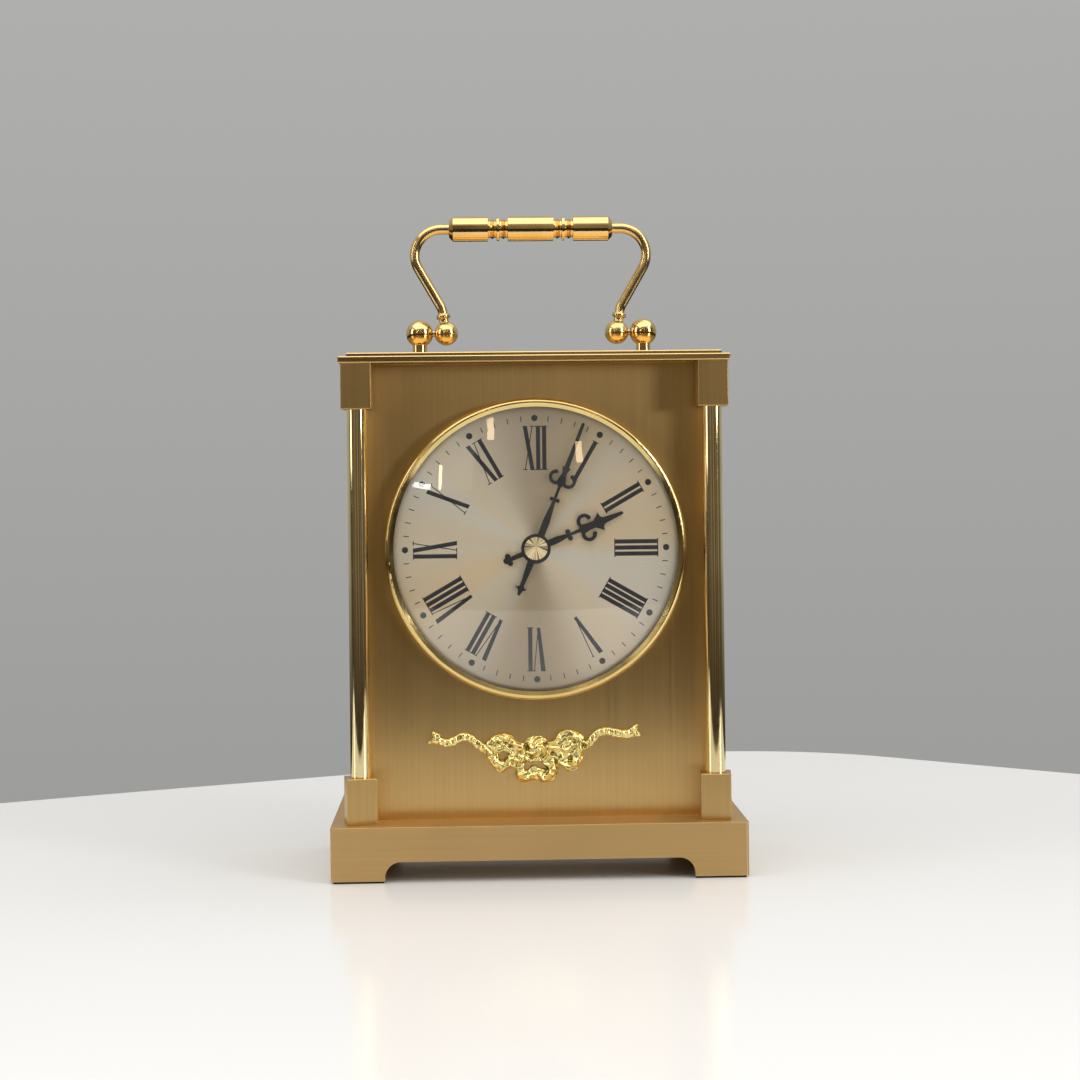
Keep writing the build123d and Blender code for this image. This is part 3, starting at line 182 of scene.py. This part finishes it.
class Surface(Graph):
    """A new material with a Principled shader."""

    def __init__(self, name, metallic=0.0):
        self.material = bpy.data.materials.new(name)
        self.material.use_nodes = True
        super().__init__(self.material.node_tree)
        self.shader = self.tree.nodes["Principled BSDF"]
        socket(self.shader, "Metallic", metallic)

    def give(self, name, value):
        """Sets or links an input of the shader."""
        self.feed(value, self.shader.inputs[name])

    def soft_edge(self, radius, samples=4):
        """A normal rounded over sharp edges, and the share of edge at each place."""
        rounded = self.add("ShaderNodeBevel", samples=samples)
        socket(rounded, "Radius", radius)
        flat = self.add("ShaderNodeNewGeometry")
        turn = self.add("ShaderNodeVectorMath", operation="DOT_PRODUCT")
        self.feed(rounded.outputs["Normal"], turn.inputs[0])
        self.feed(flat.outputs["Normal"], turn.inputs[1])
        return rounded.outputs["Normal"], self.spread(turn.outputs["Value"], 1.0, 0.0, 0.80, 0.98)

    def bump(self, height, distance, strength, normal=None):
        node = self.add("ShaderNodeBump")
        socket(node, "Distance", distance)
        socket(node, "Strength", strength)
        self.feed(height, node.inputs["Height"])
        if normal:
            self.feed(normal, node.inputs["Normal"])
        self.give("Normal", node.outputs["Normal"])


def scaled(colour, share):
    """A colour made lighter or darker."""
    return (colour[0] * share, colour[1] * share, colour[2] * share, 1.0)


# Grains of the materials, in repeats per metre
scratch_across = 2000.0
scratch_along = 9.0
scratch_band = 6
stain_grain = 14.0
dust_grain = 1300.0
lacquer_grain = 90.0
wear_grain = (300, 300, 240)
glass_dust_grain = 900.0
table_cloud_grain = 3.0

# How much lighter and darker the brushing is than the metal's colour
brush_contrast = 0.07

# Depths of the materials, in metres
scratch_depth = 0.00001
coat_depth = 0.00003
# How far the painted crevice shade reaches
painted_shade_reach = 1.2 * mm


def even(grain):
    """The same grain along all three axes."""
    return (grain, grain, grain)


def brushed_metal(name, colour, grain, roughness, anisotropy, dust=0.0, edge_width=0.35):
    """Satin metal with fine scratches along the axis named by grain, and a painted highlight along its
    edges.
    """
    surface = Surface(name, 1.0)
    stretch = list(even(scratch_across))
    stretch["XYZ".index(grain)] = scratch_along
    fine = surface.noise(surface.position(stretch), 3.0, 0.65)
    wide = surface.noise(surface.position([size / scratch_band for size in stretch]))
    both = surface.mix(0.25, fine, wide)
    dark, light = scaled(colour, 1 - brush_contrast), scaled(colour, 1 + brush_contrast)
    tone = surface.shades(both, dark, light)
    stain = surface.noise(surface.position(even(stain_grain)), 3.0, 0.6)
    tone = surface.mix(surface.spread(stain, 0.0, 0.35, 0.45, 0.75), tone, scaled(colour, 0.72))
    if dust:
        specks = surface.noise(surface.position(even(dust_grain)), 0.0)
        tone = surface.mix(surface.spread(specks, 0.0, dust, 0.80, 0.84), tone, rgb(215, 205, 180))
    normal, edge = surface.soft_edge(edge_width * mm)
    # Painted highlight: the colour is made lighter over rounded edges
    painted_edge_highlight = surface.math("MULTIPLY", edge, 0.5)
    surface.give("Base Color", surface.mix(painted_edge_highlight, tone, scaled(colour, 1.35)))
    surface.give("Roughness", surface.between(both, roughness * 0.92, roughness * 1.1))
    surface.give("Anisotropic", anisotropy)
    tangent = surface.add("ShaderNodeCombineXYZ")
    socket(tangent, {"Z": "X", "X": "Z"}[grain], 1.0)
    surface.give("Tangent", tangent.outputs["Vector"])
    surface.bump(both, scratch_depth, 0.03, normal)
    return surface.material


def polished_metal(name, colour, roughness, soften=0.0, painted_crevice_shade=None):
    """Lacquered polished metal with soft stains; if asked, softened edges, and painted shade that darkens
    its crevices.
    """
    surface = Surface(name, 1.0)
    stain = surface.noise(surface.position(even(lacquer_grain)), 4.0, 0.6)
    tone = surface.shades(stain, scaled(colour, 0.9), scaled(colour, 1.06))
    if painted_crevice_shade:
        # Painted shade: ambient occlusion darkens the colour in crevices towards the given shade colour
        shade = surface.add("ShaderNodeAmbientOcclusion", samples=8)
        socket(shade, "Distance", painted_shade_reach)
        painted_shade_share = surface.spread(shade.outputs["AO"], 1.0, 0.0, 0.35, 0.85)
        tone = surface.mix(painted_shade_share, tone, painted_crevice_shade)
    surface.give("Base Color", tone)
    wear = surface.noise(surface.position(wear_grain), 2.0, 0.6)
    surface.give("Roughness", surface.spread(wear, roughness * 0.8, roughness * 1.4, 0.35, 0.7))
    if soften:
        normal, _ = surface.soft_edge(soften * mm, 12)
        surface.give("Normal", normal)
    return surface.material


def dial_metal():
    """Champagne dial with fine brushing that runs out from its centre, and painted shade in wedges above
    and below the centre.
    """
    surface = Surface("dial_sunburst", 0.8)
    angle = surface.angle(dial_x, dial_z)
    rays = surface.noise_along(angle, 140.0, 3.0)
    tone = surface.shades(rays, rgb(244, 234, 214), rgb(254, 246, 228))
    warmth = surface.noise_along(angle, 1.3, 1.0)
    tone = surface.mix(surface.spread(warmth, 0.0, 1.0, 0.35, 0.65), tone, rgb(252, 230, 192))
    # Painted shade: the colour darkens in narrow wedges above and below the centre, where the brushing
    # would reflect the darker room
    upright = surface.math("ABSOLUTE", surface.math("SINE", angle))
    painted_shade_wedge = surface.math("MULTIPLY", surface.math("POWER", upright, 9.0), 0.6)
    surface.give("Base Color", surface.mix(painted_shade_wedge, tone, rgb(176, 152, 114)))
    surface.give("Roughness", surface.between(rays, 0.50, 0.54))
    surface.give("Anisotropic", 0.9)
    tangent = surface.add("ShaderNodeTangent", direction_type="RADIAL", axis="Y")
    surface.give("Tangent", tangent.outputs["Tangent"])
    return surface.material


def cap_metal():
    """Brass cap turned on a lathe, with a painted fan of highlights and shade around its centre."""
    surface = Surface("turned_cap", 1.0)
    painted_light_fan = surface.noise_along(surface.angle(dial_x, dial_z), 2.6, 3.0)
    # Painted highlights and shade: the colour swings from dark to light in a fan around the centre
    dark, middle, light = rgb(150, 122, 70), rgb(236, 212, 156), rgb(255, 240, 200)
    stops = [(0.38, dark), (0.46, middle), (0.54, light), (0.62, dark)]
    surface.give("Base Color", surface.ramp(painted_light_fan, stops))
    surface.give("Roughness", surface.between(painted_light_fan, 0.24, 0.4))
    surface.give("Anisotropic", 0.85)
    surface.give("Anisotropic Rotation", 0.25)
    tangent = surface.add("ShaderNodeTangent", direction_type="RADIAL", axis="Y")
    surface.give("Tangent", tangent.outputs["Tangent"])
    return surface.material


def plain_coat(name, colour, roughness, metallic=0.0, grain=900.0, contrast=0.08, bump=0.1):
    """Paint, plastic or felt with a fine grain."""
    surface = Surface(name, metallic)
    speck = surface.noise(surface.position(even(grain)), 3.0, 0.6)
    dark, light = scaled(colour, 1 - contrast), scaled(colour, 1 + contrast)
    surface.give("Base Color", surface.shades(speck, dark, light))
    surface.give("Roughness", surface.between(speck, roughness * 0.85, roughness * 1.15))
    surface.bump(speck, coat_depth, bump)
    return surface.material


def clear_glass():
    """Thin domed glass with a few specks of dust."""
    surface = Surface("domed_glass")
    specks = surface.noise(surface.position(even(glass_dust_grain)), 0.0)
    surface.give("Roughness", surface.spread(specks, 0.01, 0.2, 0.83, 0.86))
    surface.give("Base Color", (1, 1, 1, 1))
    surface.give("Transmission Weight", 1.0)
    surface.give("IOR", 1.45)
    return surface.material


def glossy_white():
    """The pale glossy table."""
    surface = Surface("table_top")
    cloud = surface.noise(surface.position(even(table_cloud_grain)), 3.0)
    surface.give("Base Color", surface.shades(cloud, rgb(233, 235, 238), rgb(237, 239, 242)))
    surface.give("Roughness", 0.16)
    surface.give("Specular IOR Level", 0.4)
    return surface.material


def paint(material, *names):
    """Gives CAD nodes a material."""
    for name in names:
        slots = nodes[name].material_slots
        if not slots:
            nodes[name].data.materials.append(material)
        for slot in slots:
            slot.material = material


def mesh_piece(name, vertices, faces, material):
    """A new mesh object in the frame."""
    mesh = bpy.data.meshes.new(name)
    mesh.from_pydata(vertices, [], faces)
    mesh.validate()
    mesh.materials.append(material)
    piece = bpy.data.objects.new(name, mesh)
    bpy.context.scene.collection.objects.link(piece)
    return piece


# Gilt relief, in millimetres
relief_grid = 0.24
relief_swell = 0.25
relief_root = 0.1
relief_rise = 0.9
fold_depth = 0.9
tail_depth = 0.6
crumple = 0.3
sway = 0.2
tail_start = 15.5
tail_fold = 1.5
rosette = 3.6
knot_x = -0.5
knot_height = 36.4

# Lengths over which the relief's noises change, in millimetres, and the layer of noise that each one reads
wander_grain, wander_layer = 2.5, 3.0
crumple_grain, crumple_layer = 1.3, 7.0
sway_grain, sway_layer = 1.2, 5.0

# Counts in the relief
petals_per_radian = 2.5
petal_twist = 1.2
folds_per_radian = 6
relief_rounds = 2
casting_rounds = 5

# Seed of the sway, so that each run bends the ribbon the same way
sway_seed = 1795592850


def ridges(value):
    """A row of sharp ridges with round valleys, from 0 to 1."""
    return 1 - abs(math.sin(value))


def relief_height(x, z):
    """How far the folds of the ribbon stand out or sink in at a place measured from the knot."""
    out = math.hypot(x, z)
    turn = math.atan2(z, abs(x))
    wander = noise.noise((x / wander_grain, z / wander_grain, wander_layer))
    small = 1 - 2 * abs(noise.noise((x / crumple_grain, z / crumple_grain, crumple_layer)))
    if out < rosette:
        petals = ridges(petals_per_radian * math.atan2(z, x) + petal_twist * out)
        return fold_depth * (petals - 1) + crumple * (small - 1) / 2
    if abs(x) > tail_start:
        fold = ridges(math.pi * x / tail_fold + 2 * wander)
        return tail_depth * (fold - 0.4) + crumple * (small - 0.5)
    fold = ridges(folds_per_radian * turn + 3 * wander)
    return fold_depth * (fold - 0.4) + crumple * (small - 0.5)


def soft_casting():
    """The CAD ornament as an even mesh with rounded edges."""
    source = bpy.data.objects.new("relief_source", nodes["ribbon_ornament"].data.copy())
    bpy.context.scene.collection.objects.link(source)
    remesh = source.modifiers.new("remesh", "REMESH")
    remesh.mode = "VOXEL"
    remesh.voxel_size = relief_grid * mm
    swell = source.modifiers.new("swell", "DISPLACE")
    swell.strength = relief_swell * mm
    swell.mid_level = 0.0
    smooth = source.modifiers.new("smooth", "SMOOTH")
    smooth.factor = 0.5
    smooth.iterations = casting_rounds
    ready = source.evaluated_get(bpy.context.evaluated_depsgraph_get())
    mesh = bpy.data.meshes.new_from_object(ready)
    bpy.data.objects.remove(source)
    return mesh


def fold_ribbon(mesh):
    """Moves the front of the casting into folds and crumples, no further out than the CAD ornament."""
    noise.seed_set(sway_seed)
    for vertex in mesh.vertices:
        place = vertex.co
        out = (panel_front - place.y) / mm
        if out > relief_root:
            x, z = place.x / mm - knot_x, place.z / mm - knot_height
            share = min(1.0, out / relief_rise)
            place.y -= share * relief_height(x, z) * mm
            place.y = max(place.y, ornament_front)
            drift = noise.noise_vector((x / sway_grain, z / sway_grain, sway_layer))
            place.x += sway * drift.x * mm
            place.z += sway * drift.z * mm


def smooth_mesh(mesh, rounds):
    """Evens out small steps in a mesh."""
    soft = bmesh.new()
    soft.from_mesh(mesh)
    axes = {"use_axis_x": True, "use_axis_y": True, "use_axis_z": True}
    for _ in range(rounds):
        bmesh.ops.smooth_vert(soft, verts=soft.verts, factor=0.5, **axes)
    soft.to_mesh(mesh)
    soft.free()


def gilt_relief(material):
    """The ribbon bow as a soft casting: the CAD outline with rounded edges, folds and crumples."""
    mesh = soft_casting()
    fold_ribbon(mesh)
    smooth_mesh(mesh, relief_rounds)
    mesh.materials.clear()
    mesh.materials.append(material)
    mesh.shade_smooth()
    piece = bpy.data.objects.new("gilt_bow", mesh)
    bpy.context.scene.collection.objects.link(piece)
    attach(piece, "case")
    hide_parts("ribbon_ornament")


# Dial print
numeral_inner = 23.1
numeral_outer = 35.7
stem = 1.22
stem_gap = 0.56
letter_gap = 0.5
wide_letter = 3.3
hairline = 0.27
serif = 0.35
dot_radius = 38.15
dot_size = 0.92
tick_inner = 37.2
tick_outer = 38.8
tick_width = 0.26
print_height = 0.03
dot_corners = 28
tight_gap = 0.8
v_point = 0.62
v_foot_left = 0.45
v_foot_right = 0.35
v_top = 1.1
numerals = ("XII", "I", "II", "III", "IIII", "V", "VI", "VII", "VIII", "IX", "X", "XI")


class Print:
    """Flat shapes printed on the dial, collected in one mesh."""

    def __init__(self):
        self.vertices = []
        self.faces = []

    def shape(self, points, turn):
        """Adds a flat face from points across and out from the centre, turned clockwise."""
        start = len(self.vertices)
        sine, cosine = math.sin(turn), math.cos(turn)
        for across, out in points:
            x = dial_x + (across * cosine + out * sine) * mm
            z = dial_z + (out * cosine - across * sine) * mm
            self.vertices.append((x, dial_face - print_height * mm, z))
        self.faces.append(tuple(range(start, len(self.vertices))))

    def bar(self, low, high, width, turn):
        """Adds a straight stroke from low to high, each a place across and out."""
        half = width / 2
        (low_across, low_out), (high_across, high_out) = low, high
        foot = [(low_across - half, low_out), (low_across + half, low_out)]
        head = [(high_across + half, high_out), (high_across - half, high_out)]
        self.shape(foot + head, turn)

    def serifs(self, across, width, ends, turn):
        """Adds hairlines across the ends of a stroke."""
        for out in ends:
            low, high = (across, out - hairline / 2), (across, out + hairline / 2)
            self.bar(low, high, width + 2 * serif, turn)

    def dot(self, out, size, turn):
        """Adds a round dot."""
        steps = [2 * math.pi * step / dot_corners for step in range(dot_corners)]
        self.shape([(size * math.cos(step), out + size * math.sin(step)) for step in steps], turn)


def letter_width(letter):
    """The width of a numeral's letter."""
    return stem if letter == "I" else wide_letter


def print_letter(dial, letter, left, turn):
    """Prints one letter of a numeral, from its left side."""
    low, high = numeral_inner, numeral_outer
    right = left + letter_width(letter)
    thick_half = stem / 2
    if letter == "I":
        dial.bar((left + thick_half, low), (left + thick_half, high), stem, turn)
        dial.serifs(left + thick_half, stem, (low, high), turn)
    elif letter == "X":
        dial.bar((right - thick_half, low), (left + thick_half, high), stem, turn)
        dial.bar((left + thick_half, low), (right - thick_half, high), hairline, turn)
        for across in (left + thick_half, right - thick_half):
            dial.serifs(across, stem / 2, (low, high), turn)
    else:
        point = left + v_point * wide_letter
        foot = [(point - v_foot_left * stem, low), (point + v_foot_right * stem, low)]
        head = [(left + v_top * stem, high), (left, high)]
        dial.shape(foot + head, turn)
        dial.bar((point, low), (right, high), hairline, turn)
        dial.serifs(left + thick_half, stem / 2, (high,), turn)
        dial.serifs(right, 0.0, (high,), turn)


def print_numeral(dial, text, turn):
    """Prints a numeral with its foot to the centre."""
    gaps = [stem_gap if a == b == "I" else letter_gap for a, b in zip(text, text[1:])]
    if text == "IIII":
        gaps = [tight_gap * gap for gap in gaps]
    left = -(sum(letter_width(letter) for letter in text) + sum(gaps)) / 2
    for letter, gap in zip(text, gaps + [0.0]):
        print_letter(dial, letter, left, turn)
        left += letter_width(letter) + gap


def dial_print(ink):
    """The numerals, the hour dots and the minute ticks."""
    dial = Print()
    for hour, text in enumerate(numerals):
        print_numeral(dial, text, math.radians(30 * hour))
    for minute in range(60):
        turn = math.radians(6 * minute)
        if minute % 5:
            dial.bar((0, tick_inner), (0, tick_outer), tick_width, turn)
        else:
            dial.dot(dot_radius, dot_size, turn)
    piece = mesh_piece("dial_numerals", dial.vertices, dial.faces, ink)
    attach(piece, "case")


def camera():
    """The camera at the photograph's angle."""
    data = bpy.data.cameras.new("camera")
    data.sensor_width = camera_sensor
    data.lens = data.sensor_width * focal_pixels / picture_side
    data.shift_y = (horizon_row - picture_side / 2) / picture_side
    data.clip_start = nearest_seen
    data.clip_end = farthest_seen
    forward = Vector((math.sin(camera_yaw), math.cos(camera_yaw), 0))
    right = Vector((math.cos(camera_yaw), -math.sin(camera_yaw), 0))
    up = Vector((0, 0, 1))
    ahead = forward * math.cos(camera_pitch) + up * math.sin(camera_pitch)
    above = up * math.cos(camera_pitch) - forward * math.sin(camera_pitch)
    side = right * math.cos(camera_roll) + above * math.sin(camera_roll)
    top = above * math.cos(camera_roll) - right * math.sin(camera_roll)
    turn = Matrix((side, top, -ahead)).transposed().to_4x4()
    viewer = bpy.data.objects.new("camera", data)
    viewer.matrix_world = Matrix.Translation(camera_place) @ turn
    bpy.context.scene.collection.objects.link(viewer)
    bpy.context.scene.camera = viewer


def table_edge():
    """The rim of the table, from the right end of its back round to the front and closed."""
    curve = bpy.data.curves.new("edge", "CURVE")
    curve.dimensions = "3D"
    curve.resolution_u = 16
    spline = curve.splines.new("NURBS")
    back = [(-0.55, -0.06), (-0.212, 0.120), (-0.07, 0.190), (0.10, 0.262), (0.20, 0.170), (0.42, -0.02)]
    front = [(0.50, -0.20), (0.30, -0.285), (0.0, -0.30), (-0.30, -0.285), (-0.60, -0.22)]
    points = back + front
    spline.points.add(len(points) - 1)
    for point, (x, y) in zip(spline.points, points):
        point.co = (x, y, 0, 1)
    spline.use_cyclic_u = True
    spline.order_u = 3
    holder = bpy.data.objects.new("edge", curve)
    mesh = bpy.data.meshes.new_from_object(holder)
    line = [vertex.co.copy() for vertex in mesh.vertices]
    bpy.data.objects.remove(holder)
    return line


def stage():
    """The table, the lights and the room."""
    outline = [(p.x, p.y, 0.0) for p in table_edge()]
    under = [(x, y, -table_thickness) for x, y, _ in outline]
    count = len(outline)
    sides = [(k, (k + 1) % count, count + (k + 1) % count, count + k) for k in range(count)]
    faces = [tuple(range(count)), tuple(reversed(range(count, 2 * count)))] + sides
    table = mesh_piece("table", outline + under, faces, glossy_white())
    lights()
    room()


def lights():
    """A large ceiling light, two windows at the sides and the small lamps that show in the glass."""
    white, neutral, warm = (1.0, 1.0, 1.0), (1.0, 0.98, 0.955), (1.0, 0.74, 0.42)
    area_light("ceiling", (0.1, -0.35, 1.6), (3.2, 2.0), 30, neutral)
    area_light("left_window", (-1.3, -0.5, 0.55), (0.4, 0.9), 3, neutral)
    area_light("right_window", (1.2, -0.9, 0.6), (0.35, 0.9), 8, neutral)
    area_light("lamp_left", (-0.222, -1.362, 0.773), (0.04, 0.13), 0.14, warm)
    area_light("lamp_right", (0.311, -1.402, 0.635), (0.04, 0.13), 0.14, warm)
    area_light("lamp_strip", (-0.536, -1.385, 0.488), (0.02, 0.15), 0.15, warm)
    area_light("high_window", (-0.50, -1.35, 0.56), (0.36, 0.30), 0.2, neutral)
    area_light("bright_slit", (-0.649, -1.353, 0.43), (0.12, 0.03), 0.12, white)
    area_light("far_spot", (0.761, -1.296, 0.43), (0.03, 0.03), 0.15, white)


def area_light(name, place, size, power, colour):
    """A rectangular light aimed at the middle of the object, seen only in reflections."""
    data = bpy.data.lights.new(name, "AREA")
    data.shape = "RECTANGLE"
    data.size, data.size_y = size
    data.energy = power
    data.color = colour
    lamp = bpy.data.objects.new(name, data)
    lamp.location = place
    aim = Vector((0, 0, dial_z))
    lamp.rotation_euler = (aim - Vector(place)).to_track_quat("-Z", "Y").to_euler()
    lamp.visible_camera = False
    bpy.context.scene.collection.objects.link(lamp)


def room():
    """Grey paper behind the object, and a dim warm room before it with a pale ceiling and a dark floor."""
    world = bpy.data.worlds.new("room")
    bpy.context.scene.world = world
    world.use_nodes = True
    graph = Graph(world.node_tree)
    graph.tree.nodes.clear()
    direction = graph.add("ShaderNodeTexCoord").outputs["Generated"]
    parts = graph.add("ShaderNodeSeparateXYZ")
    graph.feed(direction, parts.inputs[0])
    across, depth, rise = parts.outputs
    paper_stops = [(0.0, rgb(157, 158, 156)), (1.0, rgb(175, 176, 174))]
    paper = graph.ramp(graph.spread(rise, 0.0, 1.0, -0.15, 0.22), paper_stops)
    wall_stops = [(0.36, rgb(48, 42, 35)), (0.50, rgb(98, 88, 74)), (0.64, rgb(156, 148, 134))]
    wall = graph.ramp(graph.noise_along(across, 9.0, 2.0), wall_stops)
    room_ceiling, room_floor = rgb(220, 214, 204), rgb(54, 47, 40)
    colour = graph.mix(graph.spread(depth, 0.0, 1.0, -0.2, 0.3), wall, paper)
    colour = graph.mix(graph.spread(rise, 0.0, 1.0, 0.35, 0.8), colour, room_ceiling)
    colour = graph.mix(graph.spread(rise, 0.0, 1.0, -0.03, -0.12), colour, room_floor)
    rays = graph.add("ShaderNodeLightPath").outputs
    plain = graph.math("MAXIMUM", rays["Is Camera Ray"], rays["Is Transmission Ray"])
    background = graph.add("ShaderNodeBackground")
    graph.feed(graph.mix(plain, colour, paper), background.inputs["Color"])
    output = graph.add("ShaderNodeOutputWorld")
    graph.feed(background.outputs[0], output.inputs["Surface"])


def materials():
    """Paints every CAD node."""
    brass = rgb(216, 181, 120)
    vertical = brushed_metal("panel_brass", brass, "Z", 0.33, 0.93, dust=0.35)
    horizontal = brushed_metal("base_brass", rgb(203, 170, 116), "X", 0.38, 0.7)
    block = brushed_metal("block_brass", scaled(brass, 0.9), "Z", 0.34, 0.6, dust=0.2)
    plate = brushed_metal("plate_brass", rgb(216, 183, 124), "X", 0.2, 0.5, edge_width=0.1)
    polished = polished_metal("polished_brass", rgb(222, 192, 132), 0.10)
    arm = polished_metal("arm_brass", rgb(222, 192, 132), 0.17, soften=0.9)
    column = polished_metal("column_brass", rgb(246, 226, 172), 0.06)
    bezel = polished_metal("bezel_brass", rgb(218, 194, 130), 0.12)
    # The gilt gets painted shade in its crevices
    gilt = polished_metal("gilt_brass", rgb(226, 210, 140), 0.22, painted_crevice_shade=rgb(128, 96, 42))
    steel = polished_metal("steel", rgb(176, 176, 178), 0.25)
    black = plain_coat("hand_black", rgb(22, 21, 20), 0.38)
    ink = plain_coat("dial_ink", rgb(30, 30, 34), 0.5)
    plastic = plain_coat("black_plastic", rgb(28, 28, 28), 0.5)
    pale = plain_coat("pale_plastic", rgb(216, 212, 200), 0.4)
    felt = plain_coat("felt", rgb(38, 36, 32), 0.95, grain=3500, contrast=0.4, bump=1.0)
    copper = plain_coat("copper_winding", rgb(150, 82, 46), 0.35, 0.9, 4000, 0.3, 0.6)
    board = plain_coat("circuit_board", rgb(30, 84, 48), 0.4)
    sleeve = plain_coat("battery_sleeve", rgb(40, 46, 60), 0.32, 0.4)
    corners = [f"{a}_{b}" for a in ("front", "rear") for b in ("left", "right")]
    paint(vertical, "front_panel", "side_panel_left", "side_panel_right", "rear_frame", "rear_door")
    paint(horizontal, "base_plinth")
    paint(plate, "top_plate_upper", "top_plate_lower")
    paint(block, *[f"pedestal_{c}" for c in corners], *[f"capital_{c}" for c in corners])
    paint(column, *[f"column_tube_{c}" for c in corners])
    paint(bezel, "bezel_ring")
    paint(polished, "handle_posts", "handle_grip")
    paint(arm, "handle_arm_left", "handle_arm_right")
    paint(polished, "door_knob", "door_hinge_door_leaves", "door_hinge_frame_leaves")
    paint(polished, "mounting_nut", "minute_arbor")
    paint(gilt, "ribbon_ornament")
    paint(cap_metal(), "centre_cap")
    paint(clear_glass(), "glass_crystal")
    paint(dial_metal(), "dial_plate")
    paint(black, "hour_hand", "minute_hand")
    paint(felt, "felt_feet")
    paint(steel, "pillar_tie_rods", "frame_nuts", "top_plate_screws")
    paint(steel, "door_hinge_pins", "handle_pivot_pins")
    paint(steel, "stepper_rotor", "stator_core", "quartz_crystal", "battery_contacts")
    paint(plastic, "glass_gasket", "movement_front_shell", "movement_rear_shell", "setting_knob")
    paint(pale, "train_plate", "hour_wheel", "minute_wheel", "drive_wheel", "third_wheel")
    paint(pale, "seconds_wheel", "intermediate_wheel")
    paint(copper, "coil_winding")
    paint(board, "circuit_board")
    paint(sleeve, "battery")
    gilt_relief(gilt)
    dial_print(ink)


materials()
stage()
camera()
